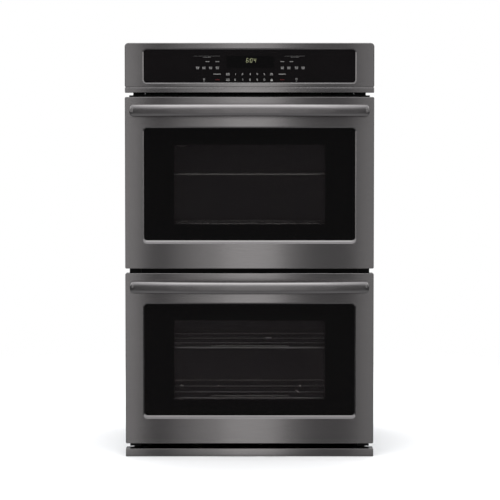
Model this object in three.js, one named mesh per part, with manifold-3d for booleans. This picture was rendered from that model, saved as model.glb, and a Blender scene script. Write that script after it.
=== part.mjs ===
// Double electric wall oven, 30 inch class.
// Millimetres, +Z up, front towards -Y. Inside this file y = 0 is the face of the kitchen cabinet:
// doors and fascia stand ahead of it, the case lies behind it. The last group moves the whole oven so
// that the origin is at the bottom, in the middle of its width and depth.

import * as THREE from 'three';
import { mergeVertices } from 'three/addons/utils/BufferGeometryUtils.js';
import Module from 'manifold-3d';

const wasm = await Module();
wasm.setup();

// ---------------------------------------------------------------- driving dimensions
const overallWidth = 762;
const doorHeight = 525;
const bottomTrimHeight = 24;
const bottomGap = 16.5;
const middleGap = 14.5;
const topGap = 13.5;
const fasciaHeight = 151.5;
const frontDepth = 45;          // door and fascia faces, ahead of the cabinet face
const bodyDepth = 584;          // behind the cabinet face, terminal box included
const terminalBoxDepth = 24;
const caseTopDrop = 35;         // the fascia stands this much above the case
const sideOverlap = 23;         // the doors overlap the case on each side
const trimOverhang = 12.5;      // the side trims lap over the cabinet face
const trimWidth = 35;

const sheet = 1.2;              // case panels
const seam = 0.4;               // gap kept between pieces that touch
const runningGap = 1.5;         // gap beside pieces that move

const faceThickness = 3;        // door and fascia faces with their rolled rim
const rimBevel = 3;             // sloping rim round the glass
const skinWall = 1.5;
const doorStandOff = 9;         // door back to cabinet face, filled by the gasket
const glassThickness = 4;
const glassLap = 8;             // glass behind its frame, all round
const doorGlassSide = 54.5;     // steel beside the door glass
const doorGlassBelow = 83.2;
const doorGlassAbove = 91;
const doorGlassCorner = 11;
const fasciaGlassSide = 54.5;
const fasciaGlassBelow = 27.4;
const fasciaGlassAbove = 17;
const fasciaGlassCorner = 12;
const linerWindowSide = 57;     // liner window inside the door glass opening, each side
const linerWindowRise = 34;     // the same above and below
const linerWindowCorner = 14;
const linerCorner = 3;
const linerFlange = 12;
const fasciaCorner = 12;
const doorCorner = 4;

const cavitySide = 53;          // insulation and air beside the cavity
const cavityBelow = 50;         // cavity floor above the door's bottom edge
const cavityAbove = 45;         // cavity ceiling below the door's top edge
const cavityRear = 80;          // behind the cavity
const cavitySheet = 1.5;
const cavityFlangeDrop = 24;    // front flange below the cavity floor
const cavityFlangeRise = 25;    // front flange above the cavity ceiling, over the insulation
const insulationThickness = 22;
const insulationGap = 1;

const gasketWidth = 8;
const gasketInset = 6;          // gasket outside the cavity mouth
const gasketCorner = 24;

const rackLevels = 6;
const firstRackLevel = 77.2;    // above the door's bottom edge
const rackPitch = 52.8;
const lowerRackLevel = 1;       // racks are stored on the second and fifth levels
const upperRackLevel = 4;
const ribHeight = 8;
const ribReach = 9;
const rackSideGap = 3;
const rackFrontInset = 22;
const rackRearInset = 28;
const rackWire = 6;
const rackBars = 11;
const rackGripDepth = 50;       // short grip bar behind the front wire
const rackGripHalfWidth = 127;

const bakeElement = { rise: 12, sideMargin: 40, frontMargin: 50, inner: 105 };
const broilElement = { drop: 24, sideMargin: 75, frontMargin: 80, inner: 90 };

const handleReach = 63;
const handleEndReach = 26;
const handleHeight = 37;
const handleThickness = 17;
const handleInset = 15;         // handle end inside the door's edge
const handleBelowTop = 41.5;      // handle's middle below the door's top edge
const handleFoot = 34;

const hingeRise = 14;           // pin above the door's bottom edge
const hingeDepth = 20;          // pin behind the door's face
const hingePin = 3;
const pinClearance = 0.3;
const hingeArmThickness = 6;
const hingeArmHalfHeight = 8;
const hingeSideInset = 12;      // arm's middle inside the case's side
const hingeChannelLength = 185;
const receiverLength = 62;

const latchPivotDepth = 25;
const latchRise = 13;           // hook's plane below the door's top edge
const latchThickness = 3;
const latchBodyHeight = 20;
const latchArmHalfWidth = 4;
const latchTip = 10;
const latchReach = 52;
const latchAngle = 25;          // degrees, unlocked to locked

const switchOffset = 62;
const plungerRadius = 3;
const plungerLength = 32;

const fanRadius = 60;
const fanHeight = 40;
const fanBlades = 18;
const fanFromBack = 110;
const fanHousingHeight = 55;
const fanHousingRise = 3;       // above the upper latch
const motorHeadroom = 14.9;     // fan motor below the top cover
const ductHalfWidth = 200;

const steel = { color: 0x8a8688, metalness: 1, roughness: 0.34 };
const blackSheet = { color: 0x1b1b1c, metalness: 0.3, roughness: 0.6 };
const galvanised = { color: 0xa5a8aa, metalness: 0.9, roughness: 0.5 };
const enamel = { color: 0x23262b, metalness: 0.1, roughness: 0.35 };
const darkGlass = { color: 0x0c0c0d, metalness: 0, roughness: 0.08 };
const clearGlass = { color: 0x9fb0a8, metalness: 0, roughness: 0.05 };
const chromeWire = { color: 0xb9bbbd, metalness: 1, roughness: 0.25 };
const blackTube = { color: 0x2e2c2b, metalness: 0.5, roughness: 0.6 };
const woolBlanket = { color: 0xc9c2a4, metalness: 0, roughness: 1 };
const wovenSeal = { color: 0x3a3b3c, metalness: 0, roughness: 0.95 };
const greenBoard = { color: 0x2f5d3a, metalness: 0, roughness: 0.7 };
const blackPlastic = { color: 0x161617, metalness: 0, roughness: 0.5 };

// ---------------------------------------------------------------- places worked out from the sizes
const lowerDoorBottom = bottomTrimHeight + bottomGap;
const upperDoorBottom = lowerDoorBottom + doorHeight + middleGap;
const fasciaBottom = upperDoorBottom + doorHeight + topGap;
const overallHeight = fasciaBottom + fasciaHeight;
const halfWidth = overallWidth / 2;
const caseHalf = halfWidth - sideOverlap;
const caseInner = caseHalf - sheet;
const caseTop = overallHeight - caseTopDrop;
const caseBack = bodyDepth - terminalBoxDepth;
const panelBack = caseBack - sheet - seam;
const doorFront = -frontDepth;
const doorBack = -doorStandOff;
const cavityHalf = caseHalf - cavitySide;
const cavityHeight = doorHeight - cavityBelow - cavityAbove;
const cavityDepth = caseBack - cavityRear;
const cavityFront = seam;
const trimOuter = caseHalf + trimOverhang;
const trimInner = trimOuter - trimWidth;
const hingeX = caseHalf - hingeSideInset;
const hingeY = doorFront + hingeDepth;
const fanY = caseBack - fanFromBack;
const deckZ = upperDoorBottom + 1;
const ovens = [
  { name: 'lower', base: lowerDoorBottom },
  { name: 'upper', base: upperDoorBottom },
];

const assembly = new THREE.Group();
assembly.position.y = -(bodyDepth - frontDepth - handleReach) / 2;

// ---------------------------------------------------------------- making solids
function add(name, geometry, finish) {
  const mesh = new THREE.Mesh(geometry, new THREE.MeshStandardMaterial(finish));
  mesh.name = name;
  assembly.add(mesh);
}

function toSolid(geometry) {
  const bare = geometry.clone();
  bare.deleteAttribute('normal');
  bare.deleteAttribute('uv');
  const merged = mergeVertices(bare, 1e-4);
  const vertProperties = merged.getAttribute('position').array;
  const triVerts = new Uint32Array(merged.index.array);
  return new wasm.Manifold(new wasm.Mesh({ numProp: 3, vertProperties, triVerts }));
}

function toGeometry(solid) {
  const { vertProperties, triVerts } = solid.getMesh();
  const geometry = new THREE.BufferGeometry();
  geometry.setAttribute('position', new THREE.BufferAttribute(vertProperties, 3));
  geometry.setIndex(new THREE.BufferAttribute(triVerts, 1));
  return geometry;
}

function joined(...geometries) {
  return toGeometry(geometries.map(toSolid).reduce((whole, piece) => whole.add(piece)));
}

function cut(geometry, ...tools) {
  return toGeometry(tools.map(toSolid).reduce((whole, tool) => whole.subtract(tool), toSolid(geometry)));
}

function block(x0, x1, y0, y1, z0, z1) {
  const geometry = new THREE.BoxGeometry(x1 - x0, y1 - y0, z1 - z0);
  return geometry.translate((x0 + x1) / 2, (y0 + y1) / 2, (z0 + z1) / 2);
}

function tracePath(path, width, height, radius, middleX, middleY) {
  const right = middleX + width / 2;
  const left = middleX - width / 2;
  const top = middleY + height / 2;
  const bottom = middleY - height / 2;
  path.moveTo(right, bottom + radius);
  path.lineTo(right, top - radius);
  path.absarc(right - radius, top - radius, radius, 0, Math.PI / 2);
  path.lineTo(left + radius, top);
  path.absarc(left + radius, top - radius, radius, Math.PI / 2, Math.PI);
  path.lineTo(left, bottom + radius);
  path.absarc(left + radius, bottom + radius, radius, Math.PI, 1.5 * Math.PI);
  path.lineTo(right - radius, bottom);
  path.absarc(right - radius, bottom + radius, radius, 1.5 * Math.PI, 2 * Math.PI);
  return path;
}

function roundedShape(width, height, radius, middleX = 0, middleY = 0) {
  return tracePath(new THREE.Shape(), width, height, radius, middleX, middleY);
}

function roundedHole(width, height, radius, middleX = 0, middleY = 0) {
  return tracePath(new THREE.Path(), width, height, radius, middleX, middleY);
}

function circleHole(radius, middleX, middleY) {
  return new THREE.Path().absarc(middleX, middleY, radius, 0, 2 * Math.PI);
}

// A shape drawn in x and z, made into a plate between two depths.
function frontPlate(shape, front, back, curveSegments = 4) {
  const geometry = new THREE.ExtrudeGeometry(shape, { depth: back - front, bevelEnabled: false, curveSegments });
  return geometry.rotateX(Math.PI / 2).translate(0, back, 0);
}

// A shape drawn in x and y, made into a plate between two heights.
function levelPlate(shape, bottom, top, curveSegments = 6) {
  const geometry = new THREE.ExtrudeGeometry(shape, { depth: top - bottom, bevelEnabled: false, curveSegments });
  return geometry.translate(0, 0, bottom);
}

// A profile drawn in y and z, made into a section along x.
function sideSection(shape, left, right, curveSegments = 6) {
  const geometry = new THREE.ExtrudeGeometry(shape, { depth: right - left, bevelEnabled: false, curveSegments });
  const turn = new THREE.Matrix4().makeBasis(
    new THREE.Vector3(0, 1, 0),
    new THREE.Vector3(0, 0, 1),
    new THREE.Vector3(1, 0, 0),
  );
  return geometry.applyMatrix4(turn).translate(left, 0, 0);
}

function outline(points) {
  return new THREE.Shape(points.map(([x, y]) => new THREE.Vector2(x, y)));
}

function cylinderAlongY(radius, front, back, x, z, sides = 16) {
  const geometry = new THREE.CylinderGeometry(radius, radius, back - front, sides);
  return geometry.translate(0, (front + back) / 2, 0).translate(x, 0, z);
}

function cylinderAlongX(radius, left, right, y, z, sides = 16) {
  const geometry = new THREE.CylinderGeometry(radius, radius, right - left, sides);
  return geometry.rotateZ(Math.PI / 2).translate((left + right) / 2, y, z);
}

function cylinderUpright(radius, bottom, top, y, sides = 16, x = 0) {
  const geometry = new THREE.CylinderGeometry(radius, radius, top - bottom, sides);
  return geometry.rotateX(Math.PI / 2).translate(x, y, (bottom + top) / 2);
}

// A solid of revolution whose axis points to the front, its foot at the given depth.
function turnedToFront(profile, x, foot, z, sides = 20) {
  const points = profile.map(([radius, reach]) => new THREE.Vector2(radius, reach));
  const geometry = new THREE.LatheGeometry(points, sides);
  return geometry.rotateX(Math.PI).translate(x, foot, z);
}

// The centre line of a bent rod, which has a ring at each of its points.
class BentLine extends THREE.Curve {
  constructor(points) {
    super();
    this.points = points;
  }

  getPoint(t) {
    return this.points[Math.round(t * (this.points.length - 1))].clone();
  }

  getPointAt(u) {
    return this.getPoint(u);
  }

  getTangent(t) {
    const index = Math.round(t * (this.points.length - 1));
    const before = this.points[Math.max(index - 1, 0)];
    const here = this.points[index];
    const after = this.points[Math.min(index + 1, this.points.length - 1)];
    const into = here.clone().sub(before).normalize();
    const outOf = after.clone().sub(here).normalize();
    return into.add(outOf).normalize();
  }

  getTangentAt(u) {
    return this.getTangent(u);
  }
}

// Corners rounded to one bend radius, in the level plane.
function roundedRoute(corners, bendRadius, bendSteps, height) {
  const points = [new THREE.Vector3(corners[0][0], corners[0][1], height)];
  for (let i = 1; i < corners.length - 1; i += 1) {
    const corner = new THREE.Vector2(...corners[i]);
    const before = new THREE.Vector2(...corners[i - 1]).sub(corner).normalize().multiplyScalar(bendRadius);
    const after = new THREE.Vector2(...corners[i + 1]).sub(corner).normalize().multiplyScalar(bendRadius);
    const centre = corner.clone().add(before).add(after);
    for (let step = 0; step <= bendSteps; step += 1) {
      const angle = (step / bendSteps) * (Math.PI / 2);
      const x = centre.x - after.x * Math.cos(angle) - before.x * Math.sin(angle);
      const y = centre.y - after.y * Math.cos(angle) - before.y * Math.sin(angle);
      points.push(new THREE.Vector3(x, y, height));
    }
  }
  const last = corners[corners.length - 1];
  points.push(new THREE.Vector3(last[0], last[1], height));
  return points;
}

function bentRod(points, radius, sides = 6) {
  const section = new THREE.Shape();
  for (let i = 0; i < sides; i += 1) {
    const angle = (i / sides) * 2 * Math.PI;
    if (i === 0) section.moveTo(radius, 0);
    else section.lineTo(radius * Math.cos(angle), radius * Math.sin(angle));
  }
  section.closePath();
  const extrudePath = new BentLine(points);
  return new THREE.ExtrudeGeometry(section, { steps: points.length - 1, extrudePath });
}

// A pressed face with side walls, an opening for glass and a sloping rim round the opening.
function framedFace(width, height, corner, bottom, back, glass) {
  const middle = bottom + height / 2;
  const outer = roundedShape(width, height, corner, 0, middle);
  const face = frontPlate(outer, doorFront, doorFront + faceThickness);
  const wallShape = roundedShape(width, height, corner, 0, middle);
  const innerCorner = Math.max(corner - skinWall, 1);
  wallShape.holes.push(roundedHole(width - 2 * skinWall, height - 2 * skinWall, innerCorner, 0, middle));
  const walls = frontPlate(wallShape, doorFront, back);
  const glassWidth = width - 2 * glass.side - 2 * rimBevel;
  const glassHeight = height - glass.below - glass.above - 2 * rimBevel;
  const glassMiddle = bottom + glass.below + rimBevel + glassHeight / 2;
  const opening = roundedShape(glassWidth, glassHeight, glass.corner - rimBevel, 0, glassMiddle);
  const tool = new THREE.ExtrudeGeometry(opening, {
    depth: faceThickness * 2,
    bevelEnabled: true,
    bevelThickness: faceThickness,
    bevelSize: rimBevel,
    bevelSegments: 1,
    curveSegments: 4,
  });
  tool.rotateX(Math.PI / 2).translate(0, doorFront, 0);
  return { face: cut(joined(face, walls), tool), glassWidth, glassHeight, glassMiddle };
}

// A pane behind an opening, lapping behind its frame.
function paneBehind(opening, corner, front, thickness = glassThickness) {
  const width = opening.glassWidth + 2 * glassLap;
  const height = opening.glassHeight + 2 * glassLap;
  return frontPlate(roundedShape(width, height, corner, 0, opening.glassMiddle), front, front + thickness);
}

// ---------------------------------------------------------------- case
function sidePanel(side) {
  const x = side * caseHalf;
  const inner = side * caseInner;
  return block(Math.min(x, inner), Math.max(x, inner), seam, caseBack, 0, caseTop);
}

function basePan() {
  const half = caseInner - seam;
  const rise = 22;
  const profile = outline([
    [-half, 0],
    [half, 0],
    [half, rise],
    [half - sheet, rise],
    [half - sheet, sheet],
    [-half + sheet, sheet],
    [-half + sheet, rise],
    [-half, rise],
  ]);
  return frontPlate(profile, seam, panelBack);
}

function topCover() {
  const half = caseInner - seam;
  const drop = 18;
  const profile = outline([
    [-half, caseTop - drop],
    [-half + sheet, caseTop - drop],
    [-half + sheet, caseTop - sheet],
    [half - sheet, caseTop - sheet],
    [half - sheet, caseTop - drop],
    [half, caseTop - drop],
    [half, caseTop],
    [-half, caseTop],
  ]);
  return frontPlate(profile, seam, panelBack);
}

const conduitHoleRadius = 14;
const terminalWidth = 120;
const terminalHeight = 90;
const terminalX = caseInner - 110;
const terminalZ = caseTop - 90;

function rearPanel() {
  const half = caseInner - seam;
  const bottom = sheet + seam;
  const top = caseTop - sheet - seam;
  const slotHalfLength = 45;
  const slotHeight = 6;
  const slotPitch = 14;
  const slotRows = 6;
  const slotBanks = [-170, 0];
  const firstSlotDrop = 60;
  const front = caseBack - sheet;
  const openings = [cylinderAlongY(conduitHoleRadius, front - 1, caseBack + 1, terminalX, terminalZ)];
  for (const bankX of slotBanks) {
    for (let row = 0; row < slotRows; row += 1) {
      const z = caseTop - firstSlotDrop - row * slotPitch;
      const left = bankX - slotHalfLength;
      const right = bankX + slotHalfLength;
      openings.push(block(left, right, front - 1, caseBack + 1, z - slotHeight / 2, z + slotHeight / 2));
    }
  }
  return cut(block(-half, half, front, caseBack, bottom, top), ...openings);
}

// Lowest level at which a strip over a door clears its latch hook and switch plunger.
function latchClearTop(base) {
  return base + doorHeight - latchRise + plungerRadius + runningGap;
}

function centreDeck() {
  const half = caseInner - seam;
  const flangeBottom = latchClearTop(lowerDoorBottom);
  const lip = trimInner - seam;
  const deck = block(-half, half, seam, panelBack, deckZ, deckZ + sheet);
  const fold = block(-lip, lip, -sheet, seam + sheet, deckZ, deckZ + sheet);
  const flange = block(-lip, lip, -sheet, 0, flangeBottom, deckZ + sheet);
  return joined(deck, fold, flange);
}

// The side trims lap over the cabinet and are screwed to it, and the hinge arms pass through them.
// Behind the fascia they keep to the width of the case.
function sideTrim(side) {
  const screwHoleRadius = 2.4;
  const screwX = side * (trimOuter - trimOverhang / 2);
  const slotHalfWidth = hingeArmThickness / 2 + runningGap;
  const slotHalfHeight = hingeArmHalfHeight + runningGap;
  const armX = side * hingeX;
  const openings = [];
  for (const { base } of ovens) {
    const armZ = base + hingeRise;
    openings.push(block(armX - slotHalfWidth, armX + slotHalfWidth, -2 * sheet, sheet,
      armZ - slotHalfHeight, armZ + slotHalfHeight));
    for (const share of [0.3, 0.8]) {
      openings.push(cylinderAlongY(screwHoleRadius, -2 * sheet, sheet, screwX, base + share * doorHeight, 10));
    }
  }
  const lapTop = fasciaBottom - topGap / 2;
  const lapEdges = [side * caseHalf, side * (trimOuter + 1)];
  openings.push(block(Math.min(...lapEdges), Math.max(...lapEdges), -2 * sheet, sheet, lapTop, caseTop + 1));
  const edges = [side * trimInner, side * trimOuter];
  const strip = block(Math.min(...edges), Math.max(...edges), -sheet, 0, bottomTrimHeight + runningGap, caseTop);
  return cut(strip, ...openings);
}

function bottomTrim() {
  const lift = 0.5;
  const back = -sheet - seam;
  const profile = outline([
    [doorFront, lift],
    [back, lift],
    [back, lift + sheet],
    [doorFront + skinWall, lift + sheet],
    [doorFront + skinWall, bottomTrimHeight - sheet],
    [back, bottomTrimHeight - sheet],
    [back, bottomTrimHeight],
    [doorFront, bottomTrimHeight],
  ]);
  return sideSection(profile, -halfWidth, halfWidth);
}

// Folded strip that turns the cooling air down and out over the upper door.
function ventTrim() {
  const half = caseInner - seam;
  const shelfSetback = 15;
  const shelfDrop = 8;
  const legRise = 14;
  const slotMargin = 4;
  const back = -sheet - seam;
  const front = doorFront + shelfSetback;
  const shelfZ = fasciaBottom - shelfDrop;
  const legBottom = latchClearTop(upperDoorBottom);
  const legTop = fasciaBottom + legRise;
  const shelf = block(-half, half, front, back, shelfZ, shelfZ + sheet);
  const leg = block(-half, half, back - sheet, back, legBottom, legTop);
  const slots = [];
  const slotCount = 16;
  const slotWidth = 30;
  const slotPitch = (2 * half - slotWidth) / slotCount;
  for (let i = 0; i < slotCount; i += 1) {
    const x = (i - (slotCount - 1) / 2) * slotPitch;
    slots.push(block(x - slotWidth / 2, x + slotWidth / 2, back - 2 * sheet, back + sheet,
      shelfZ + slotMargin, legTop - slotMargin));
  }
  return cut(joined(shelf, leg), ...slots);
}

// ---------------------------------------------------------------- controls
function controls() {
  const back = -2 * sheet - 2 * seam - runningGap;
  const fascia = framedFace(overallWidth, fasciaHeight, fasciaCorner, fasciaBottom, back, {
    side: fasciaGlassSide,
    below: fasciaGlassBelow,
    above: fasciaGlassAbove,
    corner: fasciaGlassCorner,
  });
  add('control_fascia', fascia.face, steel);
  const glassFront = doorFront + faceThickness + seam;
  add('touch_glass', paneBehind(fascia, fasciaGlassCorner, glassFront), darkGlass);
  const boardGap = 6;
  const boardThickness = 1.6;
  const boardSideInset = 75;
  const boardEdgeInset = 8;
  const boardCorner = 3;
  const boardFront = glassFront + glassThickness + boardGap;
  const boardWidth = fascia.glassWidth - 2 * boardSideInset;
  const boardHeight = fascia.glassHeight - 2 * boardEdgeInset;
  const boardShape = roundedShape(boardWidth, boardHeight, boardCorner, 0, fascia.glassMiddle);
  add('control_board', frontPlate(boardShape, boardFront, boardFront + boardThickness, 2), greenBoard);
}

// ---------------------------------------------------------------- cooling fan
function latchBodyBottom(base) {
  return base + doorHeight - latchRise + 1.5 * latchThickness;
}

function fanHousing() {
  const scrollGap = 22;
  const inletShare = 0.7;
  const shaftHoleRadius = 8;
  const holeDepth = 8;
  const ductFront = 8;
  const ductLength = 60;
  const bottom = latchBodyBottom(upperDoorBottom) + latchBodyHeight + fanHousingRise;
  const scroll = fanRadius + scrollGap;
  const inlet = fanRadius * inletShare;
  const plan = (inset, front) => {
    const shape = new THREE.Shape();
    const radius = scroll - inset;
    shape.moveTo(-ductHalfWidth + inset, front);
    shape.lineTo(ductHalfWidth - inset, front);
    shape.lineTo(ductHalfWidth - inset, ductLength);
    shape.lineTo(radius, fanY - scroll);
    shape.absarc(0, fanY, radius, 0, Math.PI);
    shape.lineTo(-radius, fanY - scroll);
    shape.lineTo(-ductHalfWidth + inset, ductLength);
    shape.closePath();
    return shape;
  };
  const top = bottom + fanHousingHeight;
  const outer = levelPlate(plan(0, ductFront), bottom, top, 10);
  const inner = levelPlate(plan(sheet, 0), bottom + sheet, top - sheet, 10);
  const inletHole = cylinderUpright(inlet, bottom - holeDepth / 2, bottom + holeDepth / 2, fanY, 24);
  const shaftHole = cylinderUpright(shaftHoleRadius, top - holeDepth / 2, top + holeDepth / 2, fanY);
  return { bottom, top, shell: cut(outer, inner, inletHole, shaftHole) };
}

function fanWheel(bottom, shaftTop) {
  const plateThickness = 2;
  const ringWidth = 12;
  const shaftRadius = 4;
  const bladeChord = 10;
  const bladeThickness = 1.2;
  const bladeAngle = 0.6;
  const bladeInset = 6.5;
  const bladeTop = bottom + fanHeight - plateThickness / 2;
  const disc = cylinderUpright(fanRadius, bladeTop - plateThickness / 2, bladeTop + plateThickness / 2, fanY, 24);
  const ringShape = new THREE.Shape().absarc(0, fanY, fanRadius, 0, 2 * Math.PI);
  ringShape.holes.push(circleHole(fanRadius - ringWidth, 0, fanY));
  const ring = levelPlate(ringShape, bottom, bottom + plateThickness, 12);
  const shaft = cylinderUpright(shaftRadius, bottom + fanHeight - shaftRadius, shaftTop, fanY, 12);
  const blades = [];
  for (let i = 0; i < fanBlades; i += 1) {
    const angle = (i / fanBlades) * 2 * Math.PI;
    const blade = new THREE.BoxGeometry(bladeChord, bladeThickness, fanHeight - plateThickness);
    blade.rotateZ(bladeAngle).translate(fanRadius - bladeInset, 0, 0).rotateZ(angle);
    blades.push(blade.translate(0, fanY, bottom + fanHeight / 2));
  }
  return joined(disc, ring, shaft, ...blades);
}

function coolingFan() {
  const housing = fanHousing();
  const wheelGap = 6;
  const motorBottom = housing.top + seam;
  const motorHeight = caseTop - sheet - motorHeadroom - motorBottom;
  const motorRadius = 34;
  const plateHalfLength = 48;
  const plateHalfWidth = 12;
  const plateThickness = 3;
  const shaftDepth = 14;
  const boreRadius = 4.8;
  const boreDepth = shaftDepth + 4;
  add('cooling_fan_housing', housing.shell, galvanised);
  const wheelBottom = housing.bottom + sheet + wheelGap;
  add('cooling_fan_wheel', fanWheel(wheelBottom, motorBottom + shaftDepth), galvanised);
  const motor = cylinderUpright(motorRadius, motorBottom, motorBottom + motorHeight, fanY, 24);
  const plate = block(-plateHalfLength, plateHalfLength, fanY - plateHalfWidth, fanY + plateHalfWidth,
    motorBottom, motorBottom + plateThickness);
  const bore = cylinderUpright(boreRadius, motorBottom - boreDepth, motorBottom + boreDepth, fanY, 12);
  add('cooling_fan_motor', cut(joined(motor, plate), bore), blackTube);
}

// The wiring box on the back, with the hole that a conduit is clamped in.
function terminalBox() {
  const front = caseBack + seam;
  const x0 = terminalX - terminalWidth / 2;
  const x1 = terminalX + terminalWidth / 2;
  const z0 = terminalZ - terminalHeight / 2;
  const z1 = terminalZ + terminalHeight / 2;
  const body = block(x0, x1, front, bodyDepth, z0, z1);
  const hollow = block(x0 + sheet, x1 - sheet, front - sheet, bodyDepth - sheet, z0 + sheet, z1 - sheet);
  const mouthRadius = 9;
  const mouthReach = 4;
  const mouth = cylinderUpright(mouthRadius, z0 - mouthReach, z0 + mouthReach, (front + bodyDepth) / 2, 20, terminalX);
  return cut(body, hollow, mouth);
}

// ---------------------------------------------------------------- oven interior
function cavity(base) {
  const floor = base + cavityBelow;
  const ceiling = floor + cavityHeight;
  const flangeBottom = floor - cavityFlangeDrop;
  const flangeTop = ceiling + cavityFlangeRise;
  const flangeHalf = caseInner - seam;
  const back = cavityFront + cavityDepth;
  const shell = block(-cavityHalf - cavitySheet, cavityHalf + cavitySheet, cavityFront, back + cavitySheet,
    floor - cavitySheet, ceiling + cavitySheet);
  const flange = block(-flangeHalf, flangeHalf, cavityFront, cavityFront + cavitySheet, flangeBottom, flangeTop);
  const inside = block(-cavityHalf, cavityHalf, -1, back, floor, ceiling);
  const shellOnly = toSolid(shell).add(toSolid(flange)).subtract(toSolid(inside));
  const ribFrontInset = 16;
  const ribRearInset = 24;
  const ribs = [];
  for (let level = 0; level < rackLevels; level += 1) {
    const top = base + firstRackLevel + level * rackPitch - rackWire / 2 - seam;
    for (const side of [-1, 1]) {
      const wall = side * (cavityHalf + cavitySheet / 2);
      const tip = side * (cavityHalf - ribReach);
      ribs.push(block(Math.min(wall, tip), Math.max(wall, tip), ribFrontInset, back - ribRearInset,
        top - ribHeight, top));
    }
  }
  return toGeometry(ribs.reduce((whole, rib) => whole.add(toSolid(rib)), shellOnly));
}

function gasket(base) {
  const width = 2 * (cavityHalf + gasketInset + gasketWidth);
  const height = cavityHeight + 2 * (gasketInset + gasketWidth);
  const middle = base + cavityBelow + cavityHeight / 2;
  const shape = roundedShape(width, height, gasketCorner, 0, middle);
  const innerCorner = gasketCorner - gasketWidth;
  shape.holes.push(roundedHole(width - 2 * gasketWidth, height - 2 * gasketWidth, innerCorner, 0, middle));
  return frontPlate(shape, doorBack + seam, cavityFront - seam, 6);
}

function insulation(base) {
  const gap = cavitySheet + insulationGap;
  const floor = base + cavityBelow - gap;
  const ceiling = base + cavityBelow + cavityHeight + gap;
  const half = cavityHalf + gap;
  const front = cavityFront + cavitySheet + insulationGap;
  const back = cavityFront + cavityDepth + gap;
  const thick = insulationThickness;
  const blanket = block(-half - thick, half + thick, front, back + thick, floor - thick, ceiling + thick);
  return cut(blanket, block(-half, half, front - thick, back, floor, ceiling));
}

function insulationTop(base) {
  return base + cavityBelow + cavityHeight + cavitySheet + insulationGap + insulationThickness;
}

// Sheathed rod folded to and fro over the oven's width, both ends at the back wall.
function heatingElement(height, { sideMargin, frontMargin, inner }) {
  const rodRadius = 3.3;
  const bendRadius = 24;
  const endHalfSpacing = 32;
  const endLength = 60;
  const innerInset = 80;
  const innerShare = 0.45;
  const back = cavityFront + cavityDepth - seam;
  const side = cavityHalf - sideMargin;
  const front = cavityFront + frontMargin;
  const rearRun = back - endLength;
  const innerRear = rearRun - innerInset;
  const half = [
    [-endHalfSpacing, back],
    [-endHalfSpacing, rearRun],
    [-side, rearRun],
    [-side, front],
    [-side + inner, front],
    [-side + inner, innerRear],
    [-inner * innerShare, innerRear],
    [-inner * innerShare, front],
  ];
  const mirrored = half.map(([x, y]) => [-x, y]).reverse();
  return bentRod(roundedRoute([...half, ...mirrored], bendRadius, 3, height), rodRadius);
}

function lampCover(base) {
  const foot = cavityFront + cavityDepth - seam;
  const profile = [[0, 0], [34, 0], [34, 7], [27, 14], [14, 20], [0, 22]];
  const fromSide = 75;
  const fromCeiling = 70;
  return turnedToFront(profile, -cavityHalf + fromSide, foot, base + cavityBelow + cavityHeight - fromCeiling);
}

function temperatureProbe(base) {
  const foot = cavityFront + cavityDepth - seam;
  const profile = [[0, 0], [10, 0], [10, 3], [2.6, 3], [2.6, 108], [1.4, 111], [0, 111]];
  const fromSide = 70;
  const fromCeiling = 52;
  return turnedToFront(profile, cavityHalf - fromSide, foot, base + cavityBelow + cavityHeight - fromCeiling, 12);
}

// Rack drawn as one flat grid: frame, cross wires and long wires, with a short grip bar at the front.
function rack(base, level) {
  const bottom = base + firstRackLevel + level * rackPitch - rackWire / 2;
  const half = cavityHalf - rackSideGap;
  const front = cavityFront + rackFrontInset;
  const back = cavityFront + cavityDepth - rackRearInset;
  const pitch = (2 * half - rackWire) / (rackBars - 1);
  const crossings = [front, front + (back - front) / 3, front + (2 * (back - front)) / 3, back - rackWire];
  const windows = [];
  const openWindow = (x0, x1, y0, y1) => {
    windows.push(block(x0, x1, y0, y1, bottom - rackWire, bottom + 2 * rackWire));
  };
  const gripHalf = Math.floor(rackGripHalfWidth / pitch) * pitch;
  for (let column = 0; column < rackBars - 1; column += 1) {
    const x0 = -half + column * pitch + rackWire;
    const x1 = -half + (column + 1) * pitch;
    for (let row = 0; row < crossings.length - 1; row += 1) {
      const inGrip = row === 0 && x0 > -gripHalf - rackWire && x1 < gripHalf + rackWire;
      const y0 = inGrip ? front + rackGripDepth + rackWire : crossings[row] + rackWire;
      openWindow(x0, x1, y0, crossings[row + 1]);
    }
  }
  openWindow(-gripHalf + rackWire / 2, gripHalf - rackWire / 2, front + rackWire, front + rackGripDepth);
  return cut(block(-half, half, front, back, bottom, bottom + rackWire), ...windows);
}

function latchAssembly(base) {
  const plane = base + doorHeight - latchRise;
  const bodyBottom = latchBodyBottom(base);
  const bodyTop = bodyBottom + latchBodyHeight;
  const motorLeft = -30;
  const motorRight = 26;
  const motorFront = latchPivotDepth - 18;
  const motorBack = latchPivotDepth + 46;
  const wingFront = latchPivotDepth + 6;
  const wingBack = latchPivotDepth + 34;
  const wingThickness = 5;
  const switchHalfWidth = 11;
  const switchFront = latchPivotDepth - 12;
  const switchDrop = 4;
  const boreBack = latchPivotDepth + 14;
  const boreRadius = plungerRadius + runningGap / 3;
  const motor = block(motorLeft, motorRight, motorFront, motorBack, bodyBottom, bodyTop);
  const wing = block(0, switchOffset + switchHalfWidth + 1, wingFront, wingBack,
    bodyBottom, bodyBottom + wingThickness);
  const housing = block(switchOffset - switchHalfWidth, switchOffset + switchHalfWidth, switchFront, wingBack,
    insulationTop(base) + seam, bodyTop - switchDrop);
  const bore = cylinderAlongY(boreRadius, switchFront - boreRadius, boreBack, switchOffset, plane);
  return cut(joined(motor, wing, housing), bore);
}

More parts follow.
